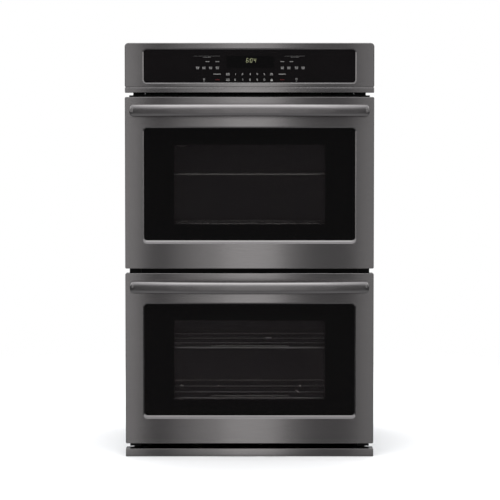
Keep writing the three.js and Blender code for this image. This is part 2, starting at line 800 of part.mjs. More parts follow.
// Flat hook on an upright pin: the tip reaches into the door and swings behind its liner.
function latchHook(base) {
  const plane = base + doorHeight - latchRise;
  const w = latchArmHalfWidth;
  const eyeRadius = 9;
  const tipY = latchPivotDepth - latchReach;
  const shape = new THREE.Shape();
  shape.moveTo(-w, tipY - 2);
  shape.lineTo(w + latchTip, tipY - 2);
  shape.lineTo(w + latchTip - 2, tipY + 5);
  shape.lineTo(w, tipY + 5);
  shape.lineTo(w, latchPivotDepth);
  shape.absarc(0, latchPivotDepth, eyeRadius, -0.2, Math.PI + 0.2);
  shape.lineTo(-w, latchPivotDepth - 8);
  shape.closePath();
  return levelPlate(shape, plane - latchThickness / 2, plane + latchThickness / 2);
}

function switchPlunger(base) {
  const front = doorBack + seam;
  const plane = base + doorHeight - latchRise;
  return cylinderAlongY(plungerRadius, front, front + plungerLength, switchOffset, plane, 14);
}

// ---------------------------------------------------------------- doors and their hinges
// Space that the hinge arm needs in the door between shut and fully open.
function hingeNotch(base, side) {
  const reach = hingeArmThickness / 2 + runningGap;
  const x = side * hingeX;
  const top = base + hingeRise + hingeArmHalfHeight + 3;
  return block(x - reach, x + reach, hingeY - hingeArmHalfHeight - 2, 5, base - 5, top);
}

function hingeArm(base, side) {
  const z = base + hingeRise;
  const half = hingeArmHalfHeight;
  const shape = new THREE.Shape();
  const shoulder = 3.5;
  const back = receiverLength;
  shape.moveTo(hingeY, z - half);
  shape.lineTo(shoulder, z - half);
  shape.lineTo(shoulder, z - half - 2);
  shape.lineTo(back, z - half - 2);
  shape.lineTo(back, z + half + 2);
  shape.lineTo(shoulder, z + half + 2);
  shape.lineTo(shoulder, z + half);
  shape.lineTo(hingeY, z + half);
  shape.absarc(hingeY, z, half, Math.PI / 2, 1.5 * Math.PI);
  shape.holes.push(circleHole(hingePin + pinClearance, hingeY, z));
  const x = side * hingeX;
  return sideSection(shape, x - hingeArmThickness / 2, x + hingeArmThickness / 2, 8);
}

// Folded channel inside the door, with the pin that the arm turns on.
function hingeChannel(base, side) {
  const x = side * hingeX;
  const inner = hingeArmThickness / 2 + runningGap;
  const cheek = 1.5;
  const outer = inner + cheek;
  const web = hingeY - hingeArmHalfHeight - runningGap;
  const back = doorBack - skinWall - 4;
  const z0 = base + skinWall + 2;
  const z1 = z0 + hingeChannelLength;
  const channel = block(x - outer, x + outer, web - cheek, back, z0, z1);
  const groove = block(x - inner, x + inner, web, back + 1, z0 - 1, z1 + 1);
  const pin = cylinderAlongX(hingePin, x - outer + 0.2, x + outer - 0.2, hingeY, base + hingeRise, 16);
  return toGeometry(toSolid(channel).subtract(toSolid(groove)).add(toSolid(pin)));
}

function handle(base) {
  const middle = base + doorHeight - handleBelowTop;
  const half = halfWidth - handleInset;
  const front = doorFront - seam;
  const sagOuter = handleReach - handleEndReach;
  const shape = new THREE.Shape();
  const steps = 20;
  const outer = (x) => doorFront - handleEndReach - sagOuter * (1 - (x / half) ** 2);
  shape.moveTo(-half, front);
  for (let i = 0; i <= steps; i += 1) {
    const x = -half + (2 * half * i) / steps;
    shape.lineTo(x, outer(x));
  }
  shape.lineTo(half, front);
  shape.lineTo(half - handleFoot, front);
  const innerHalf = half - handleFoot;
  for (let i = 0; i <= steps - 4; i += 1) {
    const x = innerHalf - (2 * innerHalf * i) / (steps - 4);
    shape.lineTo(x, outer(x) + handleThickness);
  }
  shape.lineTo(-half + handleFoot, front);
  shape.closePath();
  return levelPlate(shape, middle - handleHeight / 2, middle + handleHeight / 2);
}

function door(oven) {
  const { name, base } = oven;
  const skinBack = doorBack - skinWall;
  const skin = framedFace(overallWidth, doorHeight, doorCorner, base, skinBack, {
    side: doorGlassSide,
    below: doorGlassBelow,
    above: doorGlassAbove,
    corner: doorGlassCorner,
  });
  const notches = [-1, 1].map((side) => hingeNotch(base, side));
  add(`${name}_door_skin`, cut(skin.face, ...notches), steel);
  const glassFront = doorFront + faceThickness + seam;
  add(`${name}_outer_glass`, paneBehind(skin, doorGlassCorner, glassFront), darkGlass);

  const linerGap = skinWall + seam;
  const linerWidth = overallWidth - 2 * linerGap;
  const linerHeight = doorHeight - 2 * linerGap;
  const middle = base + doorHeight / 2;
  const windowWidth = skin.glassWidth - 2 * linerWindowSide;
  const windowHeight = skin.glassHeight - 2 * linerWindowRise;
  const plateShape = roundedShape(linerWidth, linerHeight, linerCorner, 0, middle);
  plateShape.holes.push(roundedHole(windowWidth, windowHeight, linerWindowCorner, 0, skin.glassMiddle));
  const plate = frontPlate(plateShape, doorBack - skinWall, doorBack);
  const flangeShape = roundedShape(linerWidth, linerHeight, linerCorner, 0, middle);
  flangeShape.holes.push(roundedHole(linerWidth - 2 * sheet, linerHeight - 2 * sheet, linerCorner - 1, 0, middle));
  const flange = frontPlate(flangeShape, doorBack - linerFlange, doorBack);
  const latchSlotLeft = -latchArmHalfWidth - 3;
  const latchSlotRight = 24;
  const latchSlotHalfHeight = 4;
  const plane = base + doorHeight - latchRise;
  const latchSlot = block(latchSlotLeft, latchSlotRight, doorBack - linerFlange / 2, doorBack + 1,
    plane - latchSlotHalfHeight, plane + latchSlotHalfHeight);
  add(`${name}_door_liner`, cut(joined(plate, flange), latchSlot, ...notches), enamel);

  const paneFront = doorBack - skinWall - seam - glassThickness;
  const paneWidth = windowWidth + 2 * glassLap;
  const paneHeight = windowHeight + 2 * glassLap;
  const paneShape = roundedShape(paneWidth, paneHeight, linerWindowCorner, 0, skin.glassMiddle);
  add(`${name}_inner_glass`, frontPlate(paneShape, paneFront, paneFront + glassThickness), clearGlass);
  add(`${name}_handle`, handle(base), steel);
  for (const [sideName, side] of [['left', -1], ['right', 1]]) {
    add(`${name}_hinge_channel_${sideName}`, hingeChannel(base, side), galvanised);
    add(`${name}_hinge_arm_${sideName}`, hingeArm(base, side), galvanised);
  }
}

function oven({ name, base }) {
  add(`${name}_cavity`, cavity(base), enamel);
  add(`${name}_gasket`, gasket(base), wovenSeal);
  add(`${name}_insulation`, insulation(base), woolBlanket);
  const bakeHeight = base + cavityBelow + bakeElement.rise;
  add(`${name}_bake_element`, heatingElement(bakeHeight, bakeElement), blackTube);
  const broilHeight = base + cavityBelow + cavityHeight - broilElement.drop;
  add(`${name}_broil_element`, heatingElement(broilHeight, broilElement), blackTube);
  add(`${name}_lamp_cover`, lampCover(base), clearGlass);
  add(`${name}_temperature_probe`, temperatureProbe(base), chromeWire);
  add(`${name}_latch_motor`, latchAssembly(base), blackPlastic);
  add(`${name}_latch_hook`, latchHook(base), galvanised);
  add(`${name}_switch_plunger`, switchPlunger(base), blackPlastic);
  add(`${name}_rack_low`, rack(base, lowerRackLevel), chromeWire);
  add(`${name}_rack_high`, rack(base, upperRackLevel), chromeWire);
}

add('side_panel_left', sidePanel(-1), galvanised);
add('side_panel_right', sidePanel(1), galvanised);
add('top_cover', topCover(), galvanised);
add('base_pan', basePan(), galvanised);
add('rear_panel', rearPanel(), galvanised);
add('centre_deck', centreDeck(), blackSheet);
add('side_trim_left', sideTrim(-1), blackSheet);
add('side_trim_right', sideTrim(1), blackSheet);
add('bottom_trim', bottomTrim(), steel);
add('vent_trim', ventTrim(), blackSheet);
add('terminal_box', terminalBox(), galvanised);
controls();
coolingFan();
for (const each of ovens) {
  oven(each);
  door(each);
}

export default assembly;
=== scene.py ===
"""A built-in double wall oven in black stainless steel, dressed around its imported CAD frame."""

import math

import bmesh
import bpy
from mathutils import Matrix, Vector


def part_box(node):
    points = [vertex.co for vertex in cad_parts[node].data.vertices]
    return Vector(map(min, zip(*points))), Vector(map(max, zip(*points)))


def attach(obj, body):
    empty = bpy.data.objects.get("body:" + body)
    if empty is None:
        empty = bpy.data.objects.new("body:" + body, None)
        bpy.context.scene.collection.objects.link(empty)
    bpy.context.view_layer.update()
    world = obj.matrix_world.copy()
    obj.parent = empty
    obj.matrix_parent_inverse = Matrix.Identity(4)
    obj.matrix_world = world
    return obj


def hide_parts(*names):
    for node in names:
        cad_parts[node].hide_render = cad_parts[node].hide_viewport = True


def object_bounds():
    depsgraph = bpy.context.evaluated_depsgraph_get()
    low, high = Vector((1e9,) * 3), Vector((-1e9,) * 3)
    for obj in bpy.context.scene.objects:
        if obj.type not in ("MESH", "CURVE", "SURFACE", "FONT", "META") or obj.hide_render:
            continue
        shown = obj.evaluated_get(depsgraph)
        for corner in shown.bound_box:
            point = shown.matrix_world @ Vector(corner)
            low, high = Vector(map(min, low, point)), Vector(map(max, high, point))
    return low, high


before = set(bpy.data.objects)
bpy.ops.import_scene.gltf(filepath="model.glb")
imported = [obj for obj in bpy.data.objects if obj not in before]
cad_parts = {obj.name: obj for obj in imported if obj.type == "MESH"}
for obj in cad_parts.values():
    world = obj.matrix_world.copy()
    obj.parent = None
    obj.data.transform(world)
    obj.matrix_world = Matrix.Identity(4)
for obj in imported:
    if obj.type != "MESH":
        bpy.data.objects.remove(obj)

cad_low, cad_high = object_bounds()
MM = 0.001

# ---------------------------------------------------------------- camera, light and floor
# The oven stands alone in a white studio, seen square on from a little above its middle.
# Upright strip lights behind the camera give brushed steel its soft light and dark bands.
# Lengths are in metres.
door_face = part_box("upper_door_skin")[0].y
view_distance = 5.0
view_height = 0.92
side_step = 1.5 * MM
aim_height = (cad_low.z + cad_high.z) / 2 + 2.2 * MM
frame_width = 1.5299
shift = -0.045

camera_data = bpy.data.cameras.new("studio_camera")
camera_data.sensor_width = 36
camera_data.lens = camera_data.sensor_width * view_distance / frame_width
camera_data.shift_y = shift
camera = bpy.data.objects.new("studio_camera", camera_data)
shift_angle = math.atan(-shift * camera_data.sensor_width / camera_data.lens)
pitch = math.atan((view_height - aim_height) / view_distance) - shift_angle
camera.location = (side_step, door_face - view_distance, view_height)
camera.rotation_euler = (math.pi / 2 - pitch, 0, 0)
bpy.context.scene.collection.objects.link(camera)
bpy.context.scene.camera = camera
bpy.context.scene.view_settings.view_transform = "Standard"
bpy.context.scene.view_settings.look = "None"


def soft_light(name, place, target, width, height, radiance):
    """A softbox of that size, aimed at a point, as bright as its radiance says. It isn't seen itself."""
    light = bpy.data.lights.new(name, "AREA")
    light.shape = "RECTANGLE"
    light.size = width
    light.size_y = height
    light.energy = radiance * math.pi * width * height
    lamp = bpy.data.objects.new(name, light)
    lamp.location = place
    lamp.rotation_euler = (Vector(target) - Vector(place)).to_track_quat("-Z", "Y").to_euler()
    lamp.visible_camera = False
    bpy.context.scene.collection.objects.link(lamp)
    return lamp


card_y = door_face - view_distance - 0.6
middle = (0, door_face, aim_height)
# Each strip's name, place across, width and radiance. They reach only the brushed steel and chrome.
strips = (
    ("left_edge_strip", -0.84, 0.25, 0.57),
    ("left_strip", -0.36, 0.30, 0.25),
    ("middle_glow", -0.01, 0.72, 0.17),
    ("middle_strip", 0.01, 0.40, 0.61),
    ("right_glow", 0.45, 0.30, 0.055),
    ("right_edge_strip", 0.83, 0.25, 0.41),
)
# The bowed handles turn towards the side walls, so they have wide panels of their own, one behind
# another, and two more above them.
panels = (
    ("handle_wide_panel", 0.0, 7.0, 0.10),
    ("handle_broad_panel", 0.1, 4.6, 0.09),
    ("handle_inner_panel", 0.1, 3.0, 0.09),
    ("handle_middle_panel", 0.1, 1.5, 0.08),
)
strip_height = 3.8
strip_middle = 0.3
strip_lit = bpy.data.collections.new("strip_lit")
handle_lit = bpy.data.collections.new("handle_lit")
for receivers, lights in ((strip_lit, strips), (handle_lit, panels)):
    for name, x, width, radiance in lights:
        behind = 0.1 * width
        strip = soft_light(name, (x, card_y - behind, strip_middle), (x, door_face, strip_middle),
                           width, strip_height, radiance)
        strip.light_linking.receiver_collection = receivers
skies = (
    ("handle_sky", (0, card_y + 1.0, 4.4), 4.4, 2.6, 0.62),
    ("handle_low_sky", (0, card_y + 0.4, 2.95), 4.8, 1.5, 0.26),
)
for name, place, width, height, radiance in skies:
    sky = soft_light(name, place, (0, door_face, 0.8), width, height, radiance)
    sky.light_linking.receiver_collection = handle_lit
soft_light("overhead", (-0.1, -1.8, 3.8), (0, -0.3, 0.4), 2.6, 2.2, 1.05)
soft_light("overhead_back", (0, 1.6, 3.8), (0, 0.5, 0.4), 3.4, 2.0, 2.4)
soft_light("left_wall", (-3.3, -3.3, 1.4), middle, 1.8, 2.6, 0.45)
soft_light("right_wall", (3.3, -3.3, 1.4), middle, 1.8, 2.6, 0.45)
soft_light("left_fill", (-3.6, -0.4, 1.8), middle, 1.6, 2.2, 0.9)
soft_light("right_fill", (3.6, -0.4, 1.8), middle, 1.6, 2.2, 0.9)
soft_light("rear_fill", (-2.4, 3.8, 2.2), (0, 0.3, 0.7), 2.4, 2.2, 1.2)

world = bpy.data.worlds.new("studio_white")
bpy.context.scene.world = world
world.use_nodes = True


def node(owner, kind, links=None, **settings):
    """Adds a node with its settings. links gives its inputs: a socket is linked, a value is set."""
    made = owner.node_tree.nodes.new(kind)
    for key, value in settings.items():
        setattr(made, key, value)
    for key, value in (links or {}).items():
        if isinstance(value, bpy.types.NodeSocket):
            owner.node_tree.links.new(value, made.inputs[key])
        else:
            made.inputs[key].default_value = value
    return made


world.node_tree.nodes.clear()
seen = node(world, "ShaderNodeBackground", {"Color": (1, 1, 1, 1), "Strength": 1.0})
toward = node(world, "ShaderNodeTexCoord")
rise = node(world, "ShaderNodeSeparateXYZ", {"Vector": toward.outputs["Generated"]})
ceiling = node(world, "ShaderNodeMapRange",
               {"Value": rise.outputs["Z"], "From Min": 0.05, "From Max": 0.65,
                "To Min": 0.08, "To Max": 0.95},
               interpolation_type="SMOOTHSTEP")
ground = node(world, "ShaderNodeMapRange",
              {"Value": rise.outputs["Z"], "From Min": -0.22, "From Max": -0.6,
               "To Min": 0.0, "To Max": 0.24},
              interpolation_type="SMOOTHSTEP")
glow = node(world, "ShaderNodeMath", {0: ceiling.outputs[0], 1: ground.outputs[0]}, operation="ADD")
room = node(world, "ShaderNodeBackground", {"Color": (0.97, 0.98, 1, 1), "Strength": glow.outputs[0]})
ray = node(world, "ShaderNodeLightPath")
either = node(world, "ShaderNodeMixShader",
              {0: ray.outputs["Is Camera Ray"], 1: room.outputs[0], 2: seen.outputs[0]})
node(world, "ShaderNodeOutputWorld", {"Surface": either.outputs[0]})


def linear(code):
    """An sRGB hex colour as linear red, green, blue and alpha."""
    parts = [int(code[i:i + 2], 16) / 255 for i in (1, 3, 5)]
    return [p / 12.92 if p <= 0.04045 else ((p + 0.055) / 1.055) ** 2.4 for p in parts] + [1.0]


def new_material(name, **sockets):
    """A material with one Principled shader, whose constant values are set on its own sockets."""
    made = bpy.data.materials.new(name)
    made.use_nodes = True
    shader = made.node_tree.nodes["Principled BSDF"]
    for key, value in sockets.items():
        shader.inputs[key.replace("_", " ")].default_value = value
    return made, shader


def feed(shader, **sources):
    """Links nodes' first outputs to a shader's sockets, named with _ for a space."""
    for key, source in sources.items():
        shader.id_data.links.new(source.outputs[0], shader.inputs[key.replace("_", " ")])


def mesh_piece(name, points, faces, material, body=None, smooth_angle=35):
    """A mesh object in the row frame, shaded smooth up to an angle, riding on a body."""
    mesh = bpy.data.meshes.new(name)
    mesh.from_pydata([tuple(p) for p in points], [], faces)
    tidy = bmesh.new()
    tidy.from_mesh(mesh)
    bmesh.ops.remove_doubles(tidy, verts=tidy.verts, dist=1e-6)
    bmesh.ops.dissolve_degenerate(tidy, dist=1e-6, edges=tidy.edges)
    bmesh.ops.recalc_face_normals(tidy, faces=tidy.faces)
    for edge in tidy.edges:
        sharp = len(edge.link_faces) == 2 and edge.calc_face_angle(0) > math.radians(smooth_angle)
        edge.smooth = not sharp
    for face in tidy.faces:
        face.smooth = True
    tidy.to_mesh(mesh)
    tidy.free()
    piece = bpy.data.objects.new(name, mesh)
    piece.data.materials.append(material)
    bpy.context.scene.collection.objects.link(piece)
    if "_handle_" in name:
        handle_lit.objects.link(piece)
    elif material.name in ("brushed_black_stainless", "chrome_plated_wire"):
        strip_lit.objects.link(piece)
    if body:
        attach(piece, body)
    return piece


# The floor is pale matt paint with uneven patches about 170 mm across, fading into the white studio.
# It gives the steel no mirror image.
floor_paint, shader = new_material("pale_floor_paint", Roughness=0.75)
patch = 167 * MM
grain = node(floor_paint, "ShaderNodeTexNoise", {"Scale": 1 / patch, "Detail": 4.0})
tone = node(floor_paint, "ShaderNodeMapRange",
            {"Value": grain.outputs["Fac"], "To Min": 0.93, "To Max": 0.97})
spot = node(floor_paint, "ShaderNodeTexCoord")
distance = node(floor_paint, "ShaderNodeVectorMath", {0: spot.outputs["Object"]}, operation="LENGTH")
fade = node(floor_paint, "ShaderNodeMapRange",
            {"Value": distance.outputs["Value"], "From Min": 0.7, "From Max": 2.6,
             "To Min": 1.0, "To Max": 0.0},
            interpolation_type="SMOOTHSTEP")
feed(shader, Base_Color=tone, Alpha=fade)
reach = 2.7
floor_corners = [(-reach, -reach, 0), (reach, -reach, 0), (reach, reach, 0), (-reach, reach, 0)]
floor = mesh_piece("floor", floor_corners, [(0, 1, 2, 3)], floor_paint)
floor.visible_glossy = False
floor.visible_shadow = False
floor_lit = bpy.data.collections.new("floor_lit")
floor_lit.objects.link(floor)
floor_wash = soft_light("floor_wash", (0, -1.2, 3.2), (0, -0.6, 0), 3.4, 3.0, 1.7)
floor_wash.light_linking.receiver_collection = floor_lit

# ---------------------------------------------------------------- black stainless steel faces
# Doors and control fascia are pressed from ferritic stainless sheet with a dark tinted clear coat.
# The grain is brushed level across the front, so highlights spread upright and stay narrow sideways.
black_stainless, shader = new_material(
    "brushed_black_stainless", Metallic=1.0, Roughness=0.16, Anisotropic=0.95, Anisotropic_Rotation=0.25)
place = node(black_stainless, "ShaderNodeTexCoord")
# Grit 180 leaves strokes about 0.1 mm wide and 33 mm long. They are drawn 0.8 mm wide so that they show.
stroke_length = 33.3 * MM
stroke_width = 0.8 * MM
strokes_space = node(black_stainless, "ShaderNodeMapping",
                     {"Vector": place.outputs["Object"],
                      "Scale": (1 / stroke_length, 1 / stroke_length, 1 / stroke_width)})
strokes = node(black_stainless, "ShaderNodeTexNoise",
               {"Vector": strokes_space.outputs[0], "Scale": 1.0, "Detail": 3.0, "Roughness": 0.6})
stroke_tint = node(black_stainless, "ShaderNodeMixRGB",
                   {"Fac": strokes.outputs["Fac"],
                    "Color1": linear("#8b8888"), "Color2": linear("#9d9a9a")})
smear_size = 250 * MM
smear = node(black_stainless, "ShaderNodeTexNoise",
             {"Vector": place.outputs["Object"], "Scale": 1 / smear_size, "Detail": 2.0})
smear_rough = node(black_stainless, "ShaderNodeMapRange",
                   {"Value": smear.outputs["Fac"], "To Min": 0.145, "To Max": 0.175})
stroke_bump = node(black_stainless, "ShaderNodeBump",
                   {"Height": strokes.outputs["Fac"], "Strength": 0.012, "Distance": 0.4 * MM})
level_grain = node(black_stainless, "ShaderNodeTangent", direction_type="RADIAL", axis="Z")
feed(shader, Base_Color=stroke_tint, Roughness=smear_rough, Normal=stroke_bump, Tangent=level_grain)


def rounded_ring(half_width, half_height, radius, y, centre_z, centre_x=0.0, lower_radius=None, steps=7):
    """Points of an upright rounded rectangle at one depth."""
    points = []
    for quarter, (sx, sz) in enumerate(((1, 1), (-1, 1), (-1, -1), (1, -1))):
        bend = lower_radius if sz < 0 and lower_radius is not None else radius
        bend = min(bend, half_width, half_height)
        cx = centre_x + sx * (half_width - bend)
        cz = centre_z + sz * (half_height - bend)
        for step in range(steps + 1):
            angle = (quarter + step / steps) * math.pi / 2
            points.append((cx + bend * math.cos(angle), y, cz + bend * math.sin(angle)))
    return points


def skin_faces(rings, count, closed=False):
    """Faces over rings of count points each. The skin closes on itself, or has a cap at each end."""
    faces = []
    for r in range(rings if closed else rings - 1):
        here = r * count
        there = (r + 1) % rings * count
        for i in range(count):
            j = (i + 1) % count
            faces.append((here + i, here + j, there + j, there + i))
    if not closed:
        faces.append(tuple(range(count)))
        faces.append(tuple(range((rings - 1) * count, rings * count)))
    return faces


def loft(name, rings, material, body, closed=False, smooth_angle=35):
    """A piece skinned over rings of equally many points."""
    points = [p for ring in rings for p in ring]
    faces = skin_faces(len(rings), len(rings[0]), closed)
    return mesh_piece(name, points, faces, material, body, smooth_angle)


def pressed_face(name, low, high, body, corner, opening, opening_corner, edge, sill=0.0,
                 lower_corner=None):
    """A pressed steel face round a glass: rolled outer edge, sloping bevel round the opening, side walls.
    opening is the low and high corner of the glass opening. sill makes the bevel below it taller."""
    front, back = low.y, high.y
    middle_z = (low.z + high.z) / 2
    half_width = (high.x - low.x) / 2
    half_height = (high.z - low.z) / 2
    wall = 1.4 * MM
    bevel = 3 * MM
    support = 0.3 * MM
    glass_x = (opening[1].x - opening[0].x) / 2
    glass_z = (opening[1].z - opening[0].z) / 2
    glass_middle = (opening[1].z + opening[0].z) / 2
    lower = corner if lower_corner is None else lower_corner

    def outer_ring(inset, depth):
        return rounded_ring(half_width - inset, half_height - inset, max(corner - inset, MM), depth,
                            middle_z, lower_radius=max(lower - inset, MM))

    def inner_ring(outset, depth, drop=0.0):
        return rounded_ring(glass_x + outset, glass_z + outset + drop / 2, opening_corner + outset, depth,
                            glass_middle - drop / 2)

    rings = [outer_ring(0, back)]
    for step in range(6):
        angle = step / 5 * math.pi / 2
        rings.append(outer_ring(edge * (1 - math.cos(angle)), front + edge * (1 - math.sin(angle))))
    rings.append(outer_ring(edge + support, front))
    # The steel turns into the bevel over about 1 mm: how far outside it, and how deep, in millimetres.
    for outset, depth in ((1.1, 0), (0.8, 0), (0.35, 0.12), (0, 0.45), (-0.1, 0.6)):
        rings.append(inner_ring(bevel + outset * MM, front + depth * MM, sill))
    hem = front + bevel + 0.4 * MM
    rings += [inner_ring(0.1 * MM, front + bevel - 0.1 * MM), inner_ring(0, front + bevel),
              inner_ring(0, hem), inner_ring(4 * MM, hem), inner_ring(6 * MM, front + wall),
              outer_ring(wall, front + wall), outer_ring(wall, back)]
    return loft(name, rings, black_stainless, body, closed=True, smooth_angle=40)


def cut_away(piece, boxes):
    """Removes boxes, each given by its low and high corner, from a closed mesh."""
    sides = [(0, 1, 3, 2), (4, 6, 7, 5), (0, 4, 5, 1), (2, 3, 7, 6), (0, 2, 6, 4), (1, 5, 7, 3)]
    for low, high in boxes:
        corners = [(x, y, z) for x in (low[0], high[0]) for y in (low[1], high[1])
                   for z in (low[2], high[2])]
        tool = mesh_piece("cutter", corners, sides, piece.data.materials[0])
        trim = piece.modifiers.new("notch", "BOOLEAN")
        trim.operation = "DIFFERENCE"
        trim.solver = "EXACT"
        trim.object = tool
        bpy.context.view_layer.update()
        state = bpy.context.evaluated_depsgraph_get()
        cut_mesh = bpy.data.meshes.new_from_object(piece.evaluated_get(state))
        piece.modifiers.remove(trim)
        piece.data = cut_mesh
        bpy.data.objects.remove(tool)


def opening_in(glass_node, lap=8 * MM):
    """The opening in front of a pane, which laps behind its frame."""
    low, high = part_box(glass_node)
    inset = Vector((lap, 0, lap))
    return low + inset, high - inset


ovens = ("upper", "lower")
for oven in ovens:
    door = oven + "_door"
    skin_low, skin_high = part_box(door + "_skin")
    skin = pressed_face(door + "_pressing", skin_low, skin_high, door, corner=4 * MM,
                        opening=opening_in(oven + "_outer_glass"), opening_corner=10 * MM,
                        edge=1.2 * MM, sill=6 * MM)
    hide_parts(door + "_skin")
    # Each hinge arm comes through a notch, with 1.5 mm to spare round it. The cutters run past the sheet.
    notches = []
    spare = 1.5 * MM
    for side in ("left", "right"):
        arm_low, arm_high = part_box(oven + "_hinge_arm_" + side)
        notches.append(((arm_low.x - spare, arm_low.y - 2 * MM, skin_low.z - 5 * MM),
                        (arm_high.x + spare, arm_low.y + 60 * MM, arm_high.z + spare)))
    cut_away(skin, notches)

# The fascia's lower lip is a separate rolled strip, spot welded behind a narrow groove.
fascia_low, fascia_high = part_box("control_fascia")
lip_height = 15.4 * MM
groove = 1.3 * MM
face_low = Vector((fascia_low.x, fascia_low.y, fascia_low.z + lip_height + groove))
fascia = pressed_face("fascia_pressing", face_low, fascia_high, "oven_case", corner=12 * MM,
                      opening=opening_in("touch_glass"), opening_corner=9 * MM,
                      edge=2.2 * MM, lower_corner=4.5 * MM)
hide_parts("control_fascia")


def section_along_x(name, profile, left, right, material, body, end_round=0.0, smooth_angle=35):
    """A closed profile of y and z points carried along x, its ends drawn in a little."""
    middle_y = sum(y for y, z in profile) / len(profile)
    middle_z = sum(z for y, z in profile) / len(profile)
    rings = []
    for x, shrink in ((left, end_round), (left + end_round, 0), (right - end_round, 0), (right, end_round)):
        rings.append([(x, y + max(-shrink, min(shrink, middle_y - y)),
                       z + max(-shrink, min(shrink, middle_z - z))) for y, z in profile])
    return loft(name, rings, material, body, smooth_angle=smooth_angle)


def rolled_profile(front, back, bottom, top, roll, steps=6):
    """A channel seen end on, open at the back, with rolled front edges. Points are y and z."""
    wall = 1.2 * MM
    outside = [(back, bottom)]
    for step in range(steps + 1):
        angle = step / steps * math.pi / 2
        outside.append((front + roll * (1 - math.sin(angle)), bottom + roll * (1 - math.cos(angle))))
    for step in range(steps + 1):
        angle = step / steps * math.pi / 2
        outside.append((front + roll * (1 - math.cos(angle)), top - roll * (1 - math.sin(angle))))
    inside = [(back, top - wall), (front + wall, top - wall), (front + wall, bottom + wall),
              (back, bottom + wall)]
    return outside + [(back, top)] + inside


lip_setback = 0.3 * MM
lip_inset = 0.4 * MM
lip_depth = 22 * MM
end_round = 0.8 * MM
lip_profile = rolled_profile(fascia_low.y + lip_setback, fascia_low.y + lip_depth, fascia_low.z,
                             fascia_low.z + lip_height, roll=1.6 * MM)
lip = section_along_x("fascia_lip", lip_profile, fascia_low.x + lip_inset, fascia_high.x - lip_inset,
                      black_stainless, "oven_case", end_round)
# The groove's bottom is a flat strip, 1 mm thick, lapped behind both of its edges.
strip_front, strip_back = fascia_low.y + 1.8 * MM, fascia_low.y + 2.8 * MM
strip_bottom, strip_top = fascia_low.z + lip_height - 2 * MM, fascia_low.z + lip_height + 4 * MM
strip_profile = [(strip_front, strip_bottom), (strip_front, strip_top),
                 (strip_back, strip_top), (strip_back, strip_bottom)]
joggle = section_along_x("fascia_groove", strip_profile, fascia_low.x + 2 * MM, fascia_high.x - 2 * MM,
                         black_stainless, "oven_case")

# The bottom trim is rolled from the same sheet, and hangs on the case under the lower door.
trim_low, trim_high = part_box("bottom_trim")
kick_profile = rolled_profile(trim_low.y, trim_high.y, trim_low.z, trim_high.z, roll=1.0 * MM)
kick = section_along_x("bottom_trim_rolled", kick_profile, trim_low.x, trim_high.x,
                       black_stainless, "oven_case", end_round)
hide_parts("bottom_trim")

# ---------------------------------------------------------------- handles
# Each handle is a bowed bar of drawn stainless tube with closed, rounded ends, brushed along its length.
# Two short feet stand it off the door, screwed from inside the door skin.
bar_thickness = 17 * MM
end_reach = 26 * MM
end_length = 15 * MM
bow_stations = 40
ring_points = 32
squareness = 2.25
end_squareness = 2.6
end_steps = 8
least_end = 0.12


def soft_step(value):
    """A signed power that squares off an ellipse."""
    return math.copysign(abs(value) ** (2 / squareness), value)


for oven in ovens:
    low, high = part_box(oven + "_handle")
    middle_z = (low.z + high.z) / 2
    half = high.x
    half_height = (high.z - low.z) / 2
    rise = door_face - end_reach - low.y
    ends = [half - end_length * (1 - math.cos(step / end_steps * math.pi / 2)) for step in range(end_steps)]
    straight = 2 * half - 2 * end_length
    stations = [-x for x in ends]
    stations += [-half + end_length + straight * step / bow_stations for step in range(bow_stations + 1)]
    stations += reversed(ends)
    rings = []
    for x in stations:
        into_end = max(0.0, (abs(x) - (half - end_length)) / end_length)
        share = (1 - min(1.0, into_end) ** end_squareness) ** (1 / end_squareness)
        share = max(least_end, share)
        front_y = door_face - end_reach - rise * (1 - (x / half) ** 2)
        centre_y = front_y + bar_thickness / 2
        ring = []
        for i in range(ring_points):
            angle = i / ring_points * 2 * math.pi
            ring.append((x, centre_y + bar_thickness / 2 * share * soft_step(math.cos(angle)),
                         middle_z + half_height * share * soft_step(math.sin(angle))))
        rings.append(ring)
    bar = loft(oven + "_handle_bar", rings, black_stainless, oven + "_door", smooth_angle=60)
    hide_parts(oven + "_handle")
    for side, sign in (("left", -1), ("right", 1)):
        # A foot is 24 by 25 mm with corners of 5 mm. It flares where it meets the door, and ends in the bar.
        foot_x = sign * (half - 21 * MM)
        foot_top = end_reach - 8 * MM
        rings = [rounded_ring(12 * MM + flare, 12.5 * MM + flare, 5 * MM, door_face - off, middle_z, foot_x)
                 for flare, off in ((2 * MM, 0.3 * MM), (1 * MM, 1.6 * MM), (0, 5 * MM), (0, foot_top))]
        foot = loft(oven + "_handle_foot_" + side, rings, black_stainless, oven + "_door")

# ---------------------------------------------------------------- door glass
# The outer pane is 4 mm tempered soda-lime glass, printed on its back with fired black ceramic ink.
# A window is left clear but for a fine dot screen, so it shows the oven dimly. Its dark grey colour is
# painted reflection and haze, standing in for the light off the inner pane.
def mottle(material, size, detail, first, second):
    """Uneven colour, as real finishes have: patches of a size in metres, between two near tones."""
    place = node(material, "ShaderNodeTexCoord")
    patches = node(material, "ShaderNodeTexNoise",
                   {"Vector": place.outputs["Object"], "Scale": 1 / size, "Detail": detail})
    tint = node(material, "ShaderNodeMixRGB",
                {"Fac": patches.outputs["Fac"], "Color1": linear(first), "Color2": linear(second)})
    return place, patches, tint


printed_glass, shader = new_material("black_printed_glass", Roughness=0.04, IOR=1.52)
pane_share, _, ink_tint = mottle(printed_glass, 111 * MM, 3.0, "#040303", "#070606")
across = node(printed_glass, "ShaderNodeSeparateXYZ", {"Vector": pane_share.outputs["Generated"]})
pane_low, pane_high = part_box("upper_outer_glass")
pane_size = pane_high - pane_low
window_half_width = 231 * MM
window_half_height = 122 * MM
window_rise = -1 * MM
window_blur = 1.5 * MM


